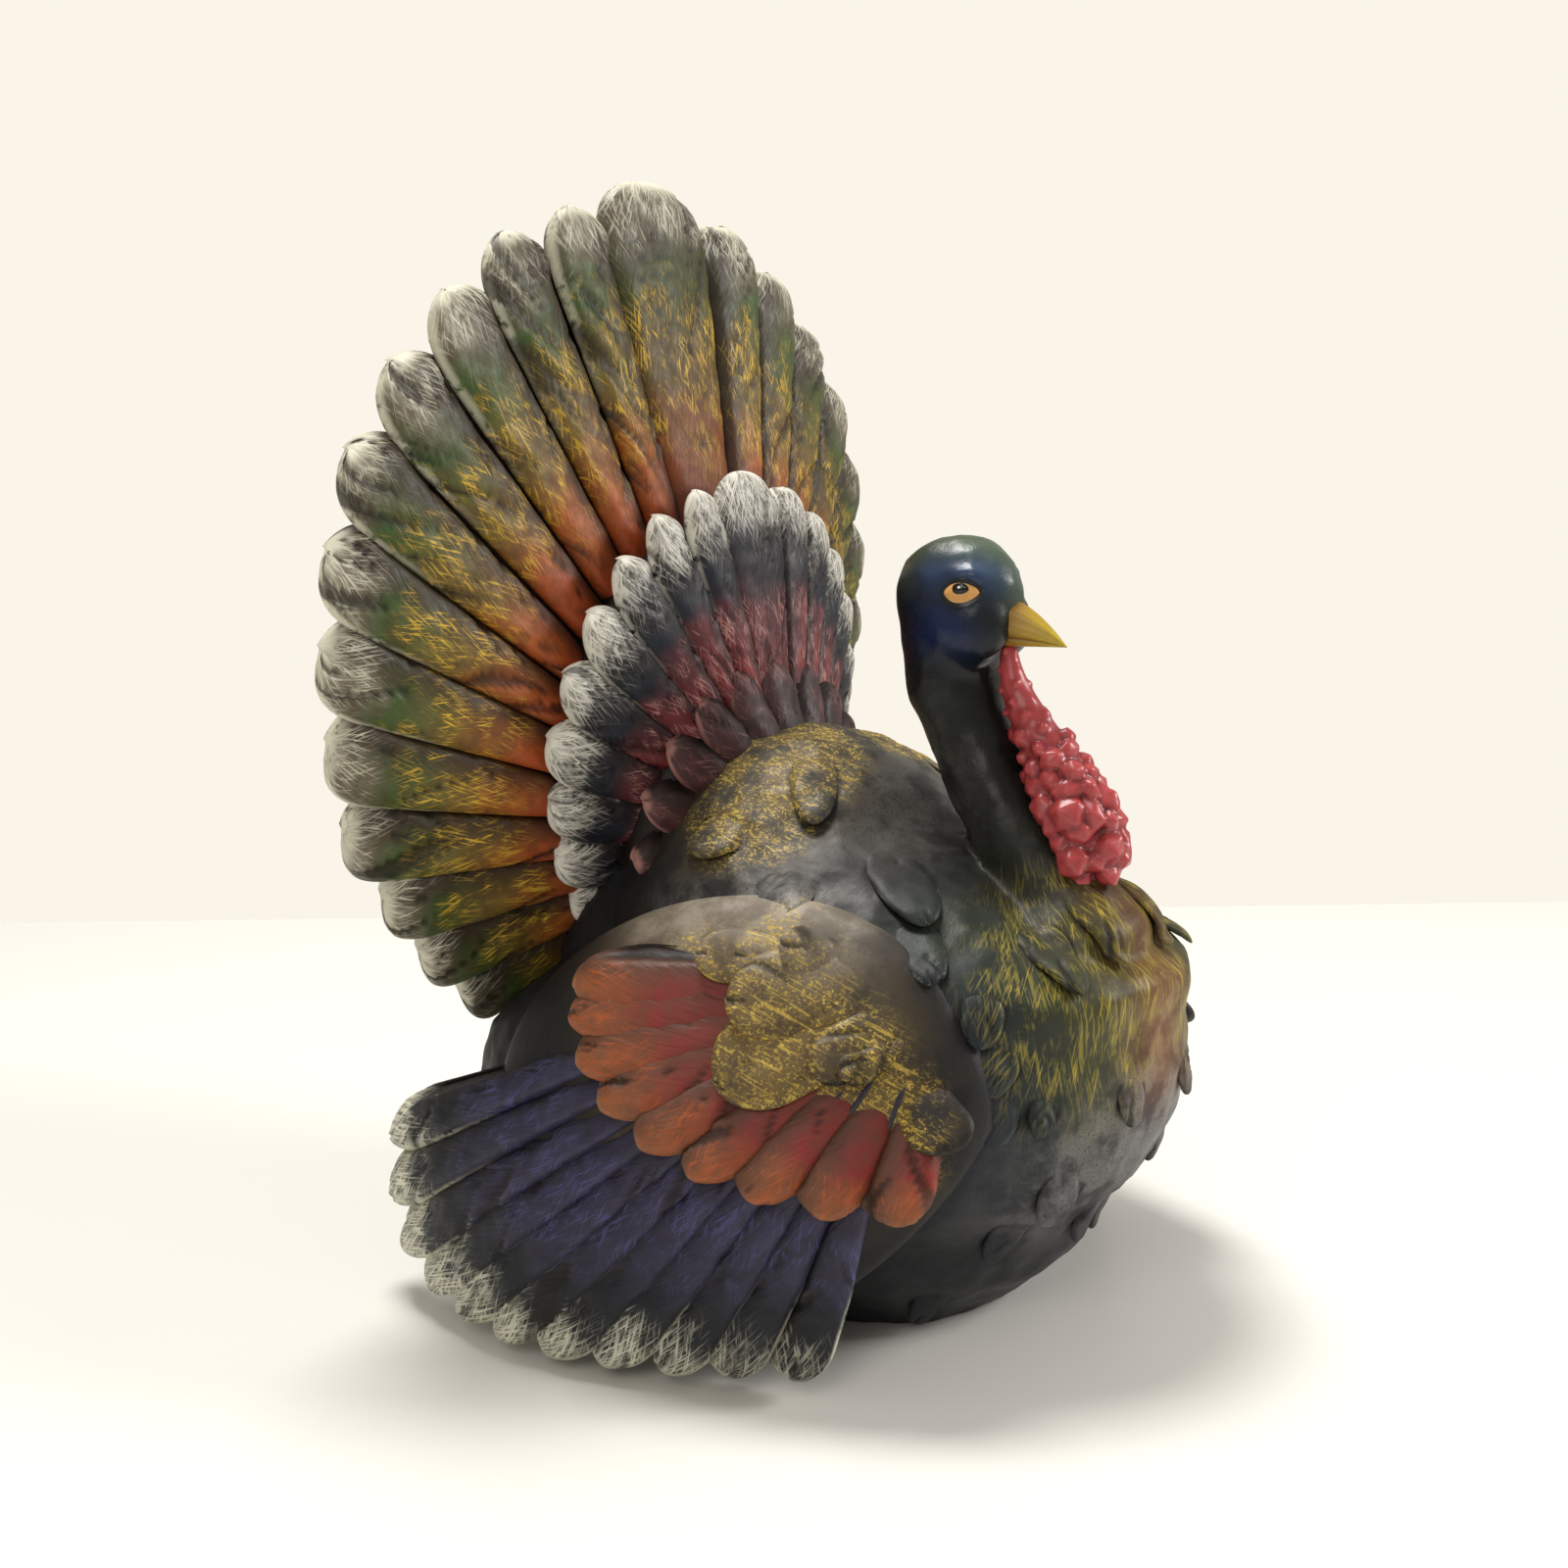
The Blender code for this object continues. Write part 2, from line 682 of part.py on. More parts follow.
def main():
    for old in list(bpy.data.objects):
        bpy.data.objects.remove(old, do_unlink=True)

    shells = [body_shell(), neck_shell(), beak_shell()]
    shells += head_shells()
    shells += wattle_shells()
    shells += tail_shells()
    shells += flank_shells()
    shells += wing_shells(-1)
    shells += wing_shells(1)
    shells += scale_shells()
    turkey = join_shells("turkey", shells)
    turkey.data.materials.append(resin_material())

    fuse = turkey.modifiers.new("fuse", "REMESH")
    fuse.mode = "VOXEL"
    fuse.voxel_size = FUSE_SIZE
    bpy.context.view_layer.update()
    graph = bpy.context.evaluated_depsgraph_get()
    fused_faces = len(turkey.evaluated_get(graph).data.polygons)

    facet = turkey.modifiers.new("facet", "DECIMATE")
    facet.ratio = min(FACET_COUNT / (2 * fused_faces), 1.0)

    foot_depth = HEIGHT * 0.1
    bpy.ops.mesh.primitive_cube_add(size=1, location=(0, 0, -foot_depth / 2))
    trim = bpy.context.object
    trim.name = "underside_trim"
    trim.scale = (2 * HEIGHT, 2 * HEIGHT, foot_depth)
    trim.hide_render = True
    trim.display_type = "WIRE"
    cut = turkey.modifiers.new("flat_underside", "BOOLEAN")
    cut.operation = "DIFFERENCE"
    cut.solver = "EXACT"
    cut.object = trim


main()
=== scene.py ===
# %% [markdown]
# # A resin turkey, carved, cast and painted by hand
# The real ornament starts as a carved master. Resin is cast from it in one hollow piece, the
# casting gets a dark wash that settles in every groove, and colour is then dry-brushed over
# the high spots. The lesson follows that order: first the forms, laid feather by feather over
# plain skins, then one paint recipe that knows a groove from a ridge. The dark it lays in
# grooves and hollows is partly that wash and partly painted shade.

# %% Load the solid and keep its box
import math

import bmesh
import bpy
import numpy as np
from mathutils import Matrix, Vector
from mathutils.bvhtree import BVHTree
from mathutils.kdtree import KDTree


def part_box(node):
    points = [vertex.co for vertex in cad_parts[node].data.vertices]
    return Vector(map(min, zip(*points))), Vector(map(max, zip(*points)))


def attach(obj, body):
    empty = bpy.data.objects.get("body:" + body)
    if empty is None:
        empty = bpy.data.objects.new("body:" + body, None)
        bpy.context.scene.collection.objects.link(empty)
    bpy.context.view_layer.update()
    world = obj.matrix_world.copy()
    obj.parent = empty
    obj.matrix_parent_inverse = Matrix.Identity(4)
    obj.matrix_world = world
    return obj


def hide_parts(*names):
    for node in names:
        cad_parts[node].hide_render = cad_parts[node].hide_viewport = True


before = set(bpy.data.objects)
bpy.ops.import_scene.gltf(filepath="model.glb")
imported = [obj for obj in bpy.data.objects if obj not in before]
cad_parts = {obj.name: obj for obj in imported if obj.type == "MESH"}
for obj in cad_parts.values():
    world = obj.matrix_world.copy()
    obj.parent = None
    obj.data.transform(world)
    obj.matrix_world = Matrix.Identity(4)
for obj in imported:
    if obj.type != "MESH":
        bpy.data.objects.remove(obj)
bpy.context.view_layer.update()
LOW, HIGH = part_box("turkey")
MM = 0.001
print("solid box in mm:", [round(v / MM, 1) for v in (*LOW, *HIGH)])

# %% [markdown]
# ## Sizes
# All lengths are metres, and they repeat the driving sizes of the solid. The bird faces -Y,
# stands at z = 0 and is the same on both sides of x = 0. Forms are given as shares of the
# body's own length, width and height, so that one change of size carries everything along.

# %% Driving sizes
HEIGHT = 0.254
BODY_HEIGHT = 0.127
BODY_LENGTH = 0.1393
BODY_WIDTH = 0.124
BASE_RADIUS = 0.035
BODY_Y = -0.0725 + BODY_LENGTH * 0.5
TAIL_RADIUS = 0.1005
TAIL_CREST = 0.0035
COVERT_RADIUS = 0.057
LOBE_RADIUS = 0.0455
HUB_Y = BODY_Y + BODY_LENGTH * 0.270
HUB_Z = BODY_HEIGHT * 0.80
HEAD_LENGTH = 0.0298
HEAD_WIDTH = 0.0235
HEAD_HEIGHT = 0.0285
HEAD_Z = 0.172 - HEAD_HEIGHT * 0.5
HEAD_Y = BODY_Y - BODY_LENGTH * 0.136
NECK_RADIUS = 0.0100
BEAK_LENGTH = 0.0155
WATTLE_RADIUS = 0.0104
WING_HALF_SPAN = 0.080
WING_FULL_Y = BODY_Y + BODY_LENGTH * 0.224
WRIST_Y = BODY_Y - BODY_LENGTH * 0.231
WRIST_Z = BODY_HEIGHT * 0.56
WING_REAR_Y = BODY_Y + BODY_LENGTH * 0.625
WING_TIPS_Z = BODY_HEIGHT * 0.28
WING_TIP_LIFT = 0.0045
WING_THICKNESS = 0.010
SHOULDER_BULGE = 0.25
SIDES = ((-1, "right"), (1, "left"))
print("body centre y, hub y and z:", round(BODY_Y, 4), round(HUB_Y, 4), round(HUB_Z, 4))

# %% [markdown]
# ## The camera and the table
# A photograph's view is three things: where the camera stands, where it looks, and how long
# its lens is. They were found by lining up the tail's rim, the base and the beak, and are
# written here as an azimuth, an elevation, a distance and a focal length in pixels of the
# 1600-pixel picture. The table ends in a straight edge behind the bird, as seen in the photo.

# %% Camera and table
PICTURE_PIXELS = 1600
FOCAL_PIXELS = 2006
SENSOR_MM = 36
AZIMUTH = math.radians(-55.17)
ELEVATION = math.radians(8.91)
DISTANCE = 0.46426
LOOK_AT = Vector((0, 0.02533, 0.11266))
TABLE_EDGE_LEFT = 942
TABLE_EDGE_RIGHT = 920


def make_camera():
    away = Vector(
        (
            math.sin(AZIMUTH) * math.cos(ELEVATION),
            -math.cos(AZIMUTH) * math.cos(ELEVATION),
            math.sin(ELEVATION),
        )
    )
    data = bpy.data.cameras.new("camera")
    data.sensor_width = SENSOR_MM
    data.lens = SENSOR_MM * FOCAL_PIXELS / PICTURE_PIXELS
    data.clip_start = 0.01
    camera = bpy.data.objects.new("camera", data)
    camera.location = LOOK_AT + away * DISTANCE
    camera.rotation_euler = (-away).to_track_quat("-Z", "Y").to_euler()
    bpy.context.scene.collection.objects.link(camera)
    bpy.context.scene.camera = camera
    return camera


def on_table(camera, column, row):
    """Where the ray through a pixel of the picture meets the table."""
    half = PICTURE_PIXELS / 2
    ray = Vector(((column - half) / FOCAL_PIXELS, (half - row) / FOCAL_PIXELS, -1))
    way = camera.rotation_euler.to_matrix() @ ray
    return camera.location + way * (-camera.location.z / way.z)


def link(name, mesh):
    made = bpy.data.objects.new(name, mesh)
    bpy.context.scene.collection.objects.link(made)
    return made


def mesh_from(name, points, faces):
    mesh = bpy.data.meshes.new(name)
    mesh.from_pydata([tuple(point) for point in points], [], [tuple(face) for face in faces])
    mesh.update()
    return mesh


def positions(mesh):
    """The places of a mesh's vertices, one row for each."""
    flat = np.empty(len(mesh.vertices) * 3, np.float32)
    mesh.vertices.foreach_get("co", flat)
    return flat.reshape(-1, 3)


def store(mesh, key, values, kind="FLOAT"):
    """Keep a value for each vertex, as an attribute that trees and materials can read."""
    field = {"FLOAT": "value", "FLOAT_VECTOR": "vector", "FLOAT_COLOR": "color"}[kind]
    flat = np.asarray(values, np.float32).ravel()
    mesh.attributes.new(key, kind, "POINT").data.foreach_set(field, flat)


camera = make_camera()
left_edge = on_table(camera, 0, TABLE_EDGE_LEFT)
right_edge = on_table(camera, PICTURE_PIXELS, TABLE_EDGE_RIGHT)
along_edge = (right_edge - left_edge).normalized()
towards = Vector((along_edge.y, -along_edge.x, 0))
REACH = 3
corners = [
    left_edge - along_edge * REACH,
    right_edge + along_edge * REACH,
    right_edge + along_edge * REACH + towards * REACH,
    left_edge - along_edge * REACH + towards * REACH,
]
if (corners[2] - corners[1]).dot(camera.location - left_edge) < 0:
    corners[2:] = [corner - towards * REACH * 2 for corner in corners[2:]]
table = link("table", mesh_from("table", corners, [(0, 1, 2, 3)]))
print("table edge from", tuple(round(v, 3) for v in left_edge), "to", tuple(round(v, 3) for v in right_edge))


# %% [markdown]
# ## Helpers for every node tree
# Colours are picked as they look on a screen, so one function turns sRGB hex into the linear
# values that shaders need. A second one adds any node, with its settings and its links. Steps
# that come back all through the lesson are kept as recipes: a kind of node with its settings,
# under the name of what it does. A trunk, a feather and a paint all use the same few.


# %% Colour and node helpers
def colour(code, alpha=1.0):
    """Linear colour from an sRGB hex code such as "c49a3a"."""
    values = [int(code[i : i + 2], 16) / 255 for i in (0, 2, 4)]
    linear = [v / 12.92 if v <= 0.04045 else ((v + 0.055) / 1.055) ** 2.4 for v in values]
    return (*linear, alpha)


def add(tree, kind, settings=None, *inputs):
    """Add a node. Its inputs come as one dict, or one by one in the node's own order."""
    node = tree.nodes.new(kind)
    for name, value in (settings or {}).items():
        setattr(node, name, value)
    named = inputs[0] if inputs and isinstance(inputs[0], dict) else dict(enumerate(inputs))
    for name, value in named.items():
        if isinstance(value, bpy.types.Node):
            value = value.outputs[0]
        if isinstance(value, bpy.types.NodeSocket):
            tree.links.new(value, node.inputs[name])
        else:
            node.inputs[name].default_value = value
    return node


SUM = ("ShaderNodeMath", {"operation": "ADD"})
DIFFERENCE = ("ShaderNodeMath", {"operation": "SUBTRACT"})
PRODUCT = ("ShaderNodeMath", {"operation": "MULTIPLY"})
RATIO = ("ShaderNodeMath", {"operation": "DIVIDE"})
SCALED_SUM = ("ShaderNodeMath", {"operation": "MULTIPLY_ADD"})
LARGER = ("ShaderNodeMath", {"operation": "MAXIMUM"})
BOTH = ("ShaderNodeMath", {"operation": "MULTIPLY", "use_clamp": True})
MOVED = ("ShaderNodeVectorMath", {"operation": "MULTIPLY_ADD"})
SOFT_STEP = ("ShaderNodeMapRange", {"interpolation_type": "SMOOTHSTEP"})
COAT_OVER = ("ShaderNodeMixRGB", {})
NUMBER = ("GeometryNodeInputNamedAttribute", {"data_type": "FLOAT"})
VECTOR = ("GeometryNodeInputNamedAttribute", {"data_type": "FLOAT_VECTOR"})


def new_paint(name):
    material = bpy.data.materials.new(name)
    material.use_nodes = True
    return material, material.node_tree, material.node_tree.nodes["Principled BSDF"]


def plain_material(name, code, roughness):
    material, _, shader = new_paint(name)
    shader.inputs["Base Color"].default_value = colour(code)
    shader.inputs["Roughness"].default_value = roughness
    return material


# %% [markdown]
# ## Light
# The bird stands on a plain pale table in a bright room. One lamp hangs overhead, a second
# stands in front on the right and lights the open side of the fan, and a weak third fills the
# near side. The room itself is only a colour: dimmer as light than as what the camera sees,
# so that the wall is nearly white while the carving keeps its shadows.

# %% Table, lamps and room
table.data.materials.append(plain_material("table_laminate", "e8e6e1", 0.35))


def soft_light(name, place, aim, size, watts, tint):
    data = bpy.data.lights.new(name, "AREA")
    data.shape = "DISK"
    data.size = size
    data.energy = watts
    data.color = colour(tint)[:3]
    lamp = bpy.data.objects.new(name, data)
    lamp.location = place
    lamp.rotation_euler = (Vector(aim) - Vector(place)).to_track_quat("-Z", "Y").to_euler()
    bpy.context.scene.collection.objects.link(lamp)


CENTRE = (0, 0, HEIGHT * 0.45)
soft_light("ceiling_light", (0.05, 0.30, 1.20), CENTRE, 0.45, 14, "fffdfa")
soft_light("window_light", (0.75, -1.05, 0.75), CENTRE, 0.5, 13, "fffefc")
soft_light("room_light", (-1.05, -0.30, 0.80), CENTRE, 0.6, 3, "fffaf4")

world = bpy.data.worlds.new("pale_room")
bpy.context.scene.world = world
world.use_nodes = True
backdrop = world.node_tree.nodes["Background"]
backdrop.inputs["Color"].default_value = colour("fcf6ea")
seen = add(world.node_tree, "ShaderNodeLightPath").outputs["Is Camera Ray"]
strength = add(world.node_tree, "ShaderNodeMapRange", {}, {"Value": seen, "To Min": 0.38, "To Max": 0.99})
world.node_tree.links.new(strength.outputs[0], backdrop.inputs["Strength"])
bpy.context.scene.view_settings.view_transform = "Standard"
print("lamps:", [lamp.name for lamp in bpy.data.lights])

# %% [markdown]
# ## Plain skins
# A carver blocks out the bird before cutting a single feather. Here the blocks are skins:
# the body is a stack of oval rings, each tail row is a shallow cone that opens backwards, and
# the wing is a slab that bulges over the thigh. Feathers are laid on these skins later, so
# only their curves matter.


# %% The body's rings
BODY_SECTIONS = (
    (0.000, 0.023, BASE_RADIUS * 1.02 / BODY_LENGTH, BASE_RADIUS / BODY_WIDTH),
    (0.055, 0.036, 0.325, 0.340),
    (0.100, 0.036, 0.372, 0.382),
    (0.180, 0.038, 0.410, 0.430),
    (0.285, 0.012, 0.465, 0.475),
    (0.420, 0.000, 0.500, 0.500),
    (0.550, 0.000, 0.500, 0.495),
    (0.640, 0.000, 0.495, 0.475),
    (0.750, 0.075, 0.400, 0.415),
    (0.850, 0.140, 0.270, 0.320),
    (0.930, 0.150, 0.190, 0.225),
    (0.985, 0.155, 0.100, 0.115),
    (1.000, 0.155, 0.010, 0.010),
)
NECK_STATIONS = (
    (0.215, 0.480, 3.60),
    (0.270, 0.630, 3.00),
    (0.294, 0.710, 2.10),
    (0.297, 0.765, 1.44),
    (0.250, 0.845, 1.12),
    (0.190, 0.945, 1.00),
    (0.150, 1.025, 1.00),
    (0.127, 1.090, 1.05),
    (0.122, 1.180, 1.12),
)


def smooth_through(places, values, at):
    """Values on the smooth curve through stations, for an array of positions."""
    places = np.array(places, float)
    values = np.array(values, float)
    at = np.clip(np.asarray(at, float), places[0], places[-1])
    i = np.clip(np.searchsorted(places, at, side="right") - 1, 0, len(places) - 2)
    before = np.maximum(i - 1, 0)
    after = np.minimum(i + 2, len(places) - 1)
    span = places[i + 1] - places[i]
    t = (at - places[i]) / span
    slope_in = (values[i + 1] - values[before]) / (places[i + 1] - places[before]) * span
    slope_out = (values[after] - values[i]) / (places[after] - places[i]) * span
    rise = values[i + 1] - values[i]
    return (
        values[i]
        + t * slope_in
        + t * t * (3 * rise - 2 * slope_in - slope_out)
        + t * t * t * (slope_in + slope_out - 2 * rise)
    )


def body_point(turn, share):
    """Point on the body: turn runs from the breast towards +X, share is of its height."""
    columns = list(zip(*BODY_SECTIONS))
    centre, length, width = (smooth_through(columns[0], columns[k], share) for k in (1, 2, 3))
    x = width * BODY_WIDTH * np.sin(turn)
    y = BODY_Y + centre * BODY_LENGTH - length * BODY_LENGTH * np.cos(turn)
    return np.stack([x, y, share * BODY_HEIGHT + 0 * x], -1)


def ring_shell(rings):
    """Closed shell through rings of points, each end closed by a point at its middle."""
    rings = np.array(rings)
    rows, count = rings.shape[:2]
    points = [*rings.reshape(-1, 3), rings[0].mean(0), rings[-1].mean(0)]
    faces = []
    for row in range(rows - 1):
        for k in range(count):
            a = row * count + k
            b = row * count + (k + 1) % count
            faces.append((a, b, b + count, a + count))
    for k in range(count):
        after = (k + 1) % count
        faces.append((rows * count, after, k))
        faces.append((rows * count + 1, (rows - 1) * count + k, (rows - 1) * count + after))
    return points, faces


def ball(centre, radii, rows=16, count=24):
    """Closed ellipsoid about a centre."""
    lift = np.pi * (np.arange(1, rows) / rows - 0.5)[:, None]
    turn = (2 * np.pi * np.arange(count) / count)[None, :]
    x = centre[0] + radii[0] * np.cos(lift) * np.sin(turn)
    y = centre[1] - radii[1] * np.cos(lift) * np.cos(turn)
    z = centre[2] + radii[2] * np.sin(lift) + 0 * turn
    points, faces = ring_shell(np.stack([x, y, z], -1))
    points[-2] = np.array((centre[0], centre[1], centre[2] - radii[2]))
    points[-1] = np.array((centre[0], centre[1], centre[2] + radii[2]))
    return points, faces


def join_shells(name, shells):
    points = []
    faces = []
    for shell_points, shell_faces in shells:
        faces += [tuple(index + len(points) for index in face) for face in shell_faces]
        points += [tuple(point) for point in shell_points]
    return mesh_from(name, points, faces)


# %% [markdown]
# ## The tail's cones
# On the real bird three rows of feathers fan out from one hub, each row standing further
# back than the one in front of it. A row could be placed feather by feather. A cone with a
# round, leaning rim does it with a few numbers: every feather finds its place and its curve
# by being dropped on it.

# %% The cones of the three tail rows
class TailRow:
    """One row of tail feathers: a cone from the hub to a leaning round rim."""

    def __init__(self, radius, centre_z, hub_y, rim_y, lean, pairs, first, last, crowding):
        self.radius = radius
        self.centre_z = centre_z
        self.hub_y = hub_y
        self.rim_y = rim_y
        self.lean = lean
        self.pairs = pairs
        self.first = math.radians(first)
        self.last = math.radians(last)
        self.crowding = crowding

    def surface(self, turn, share):
        """Point at an angle from straight up, a share of the way from the hub to the rim."""
        drop = self.centre_z - HUB_Z
        rim = drop * np.cos(turn) + np.sqrt(self.radius**2 - (drop * np.sin(turn)) ** 2)
        back = self.rim_y + self.lean * (HUB_Z + rim * np.cos(turn) - self.centre_z) - self.hub_y
        x = rim * share * np.sin(turn)
        return np.stack([x, self.hub_y + back * share, HUB_Z + rim * share * np.cos(turn)], -1)

    def angle(self, k):
        share = k / (self.pairs - 1)
        return self.first + (self.last - self.first) * share * (1 + self.crowding * (1 - share))

    def skin(self):
        """The cone as an open mesh, run past its rim so that every feather finds it."""
        turns = np.linspace(0, 2 * np.pi, 145)[:-1]
        shares = np.linspace(0.02, 1.30, 28)
        points = self.surface(turns[None, :], shares[:, None]).reshape(-1, 3)
        count = len(turns)
        faces = []
        for start in range(0, count * (len(shares) - 1), count):
            for k in range(count):
                after = (k + 1) % count
                faces.append((start + k, start + after, start + count + after, start + count + k))
        faces.append(tuple(reversed(range(count))))
        return mesh_from("cone", points, faces)


TAIL = TailRow(
    TAIL_RADIUS, HEIGHT - TAIL_RADIUS - TAIL_CREST, HUB_Y, HUB_Y + TAIL_RADIUS * 0.385,
    -0.07, 13, 16.5, 157.0, 0.10,
)
COVERTS = TailRow(
    COVERT_RADIUS, HUB_Z + COVERT_RADIUS * 0.445, HUB_Y - COVERT_RADIUS * 0.17,
    HUB_Y + COVERT_RADIUS * 0.24, -0.18, 10, 17.5, 146.0, 0.0,
)
LOBES = TailRow(
    LOBE_RADIUS, HUB_Z - LOBE_RADIUS * 0.11, HUB_Y - LOBE_RADIUS * 0.40,
    HUB_Y + LOBE_RADIUS * 0.02, -0.10, 8, 17.0, 136.0, 0.0,
)
print("tail feathers in each row:", [2 * row.pairs + 1 for row in (TAIL, COVERTS, LOBES)])


# %% [markdown]
# ## The wing's skin
# The wing hugs the thigh and swells at the shoulder. One formula says how far it stands from
# the middle of the bird at any place seen from the side, and an open sheet is drawn from it.
# Slab, feathers and colour spots all use the formula, so they can't drift apart.

# %% The wing's slab
def wing_half_width(y, z):
    """How far the wing's skin stands from the middle plane."""
    front = np.maximum((WING_FULL_Y - y) / (BODY_LENGTH * 0.58), 0)
    rear = np.maximum((y - WING_FULL_Y) / (BODY_LENGTH * 0.42), 0)
    above = np.maximum((z - BODY_HEIGHT * 0.17) / (BODY_HEIGHT * 0.60), 0)
    bulge = SHOULDER_BULGE * front * above
    return WING_HALF_SPAN * (1 - 0.42 * front**1.5 - 0.20 * rear**2 - 0.35 * above**2 + bulge)


def wing_skin(side):
    """The wing's skin as an open sheet, larger than the wing."""
    ys = np.linspace(BODY_Y - BODY_LENGTH * 0.62, BODY_Y + BODY_LENGTH * 0.85, 60)
    zs = np.linspace(-BODY_HEIGHT * 0.10, BODY_HEIGHT * 0.95, 50)
    grid_y, grid_z = np.meshgrid(ys, zs)
    half = np.maximum(wing_half_width(grid_y, grid_z), 0.01)
    points = np.stack([side * half, grid_y, grid_z], -1).reshape(-1, 3)
    wide = len(ys)
    faces = []
    for r in range(len(zs) - 1):
        for k in range(wide - 1):
            a = r * wide + k
            face = (a, a + 1, a + 1 + wide, a + wide)
            faces.append(face if side > 0 else face[::-1])
    return mesh_from("wing_skin", points, faces)


# %% [markdown]
# ## One carved feather
# Every feather of the bird is the same tongue: a root, two edges that widen, a round end, a
# crown across it and a thinner underside. It is made once, flat, with its relief kept as the
# attribute `rise` instead of as height, because a flat feather can be wrapped round any skin.


# %% The feather blank
def feather_blank(name, root_share, round_share, rows, columns, widening=0.8, square=2.2, crown=0.45):
    """Flat unit feather: x across from -1 to 1, y along from 0 to 1, relief in `rise`."""
    under = 5
    ends = np.linspace(-1, 1, columns + 1)
    top_v = np.sin(0.5 * np.pi * ends)
    low_v = np.linspace(0.8, -0.8, under)
    loop_v = np.concatenate([top_v, low_v])
    edge = np.sqrt(np.clip(1 - np.abs(loop_v) ** 7, 0, 1))
    on_top = np.arange(len(loop_v)) <= columns
    profile = np.where(on_top, (1 - crown * loop_v**2) * edge, -0.35 * edge)
    shares = 1 - (1 - np.linspace(0, 1, rows + 1)) ** 1.5
    start = 1 - round_share
    width = root_share + (1 - root_share) * np.minimum(shares / start, 1) ** widening
    into_end = np.clip((shares - start) / round_share, 0, 1)
    width = width * np.sqrt(np.clip(1 - into_end**square, 0.0015, 1))
    fade = np.sqrt(np.clip(1 - into_end**7, 0, 1))
    fade[-1] = 0.15
    x = width[:, None] * loop_v[None, :]
    y = shares[:, None] + 0 * x
    points, faces = ring_shell(np.stack([x, y, 0 * x], -1))
    mesh = mesh_from(name, points, faces)
    values = {
        "along": y,
        "across": loop_v[None, :] + 0 * x,
        "rise": profile[None, :] * fade[:, None],
    }
    for key, grid in values.items():
        store(mesh, key, np.concatenate([grid.ravel(), [grid[0].mean(), grid[-1].mean()]]))
    return link(name, mesh)


# %% [markdown]
# ## Laying feathers with Geometry Nodes
# The layout is a cloud of points, one for each root, that carries the feather's size and
# turn. The tree puts a blank on each point, makes it real, and casts every vertex on to the
# skin along the feather's own `facing`. The height over the skin then adds up what a carver
# does: the blank's own relief, a tilt so that one edge stands proud, a ditch beside the
# neighbour, a few gouge cuts, and the unevenness of the hand. Named inputs set the sizes.


# %% Helpers for trees of geometry
def new_tree(name, sockets):
    """A tree that takes geometry and named inputs, and those inputs by their names."""
    tree = bpy.data.node_groups.new(name, "GeometryNodeTree")
    for way in ("INPUT", "OUTPUT"):
        tree.interface.new_socket("Geometry", in_out=way, socket_type="NodeSocketGeometry")
    for label, kind in sockets:
        tree.interface.new_socket(label, in_out="INPUT", socket_type="NodeSocket" + kind)
    return tree, tree.nodes.new("NodeGroupInput").outputs


def end_tree(tree, geometry, paint=None):
    """Paint the result, where a paint is given, and hand it out."""
    if paint is not None:
        geometry = add(tree, "GeometryNodeSetMaterial", {}, {"Geometry": geometry, "Material": paint})
    leave = tree.nodes.new("NodeGroupOutput")
    tree.links.new(geometry.outputs[0], leave.inputs[0])
    return tree


def give_inputs(modifier, tree, wanted):
    """Set a node modifier's inputs by their socket's identifier."""
    modifier.node_group = tree
    for socket in tree.interface.items_tree:
        if socket.in_out == "INPUT" and socket.name in wanted:
            modifier[socket.identifier] = wanted[socket.name]


# %% [markdown]
# ## The carver's marks
# A carved feather is never even: one edge stands proud over its neighbour, the ditch beside
# it is deep, and the gouge leaves slanting cuts. All of that could be sculpted by hand. Here
# it is a height worked out for every vertex, and the same marks are stored for the paint.

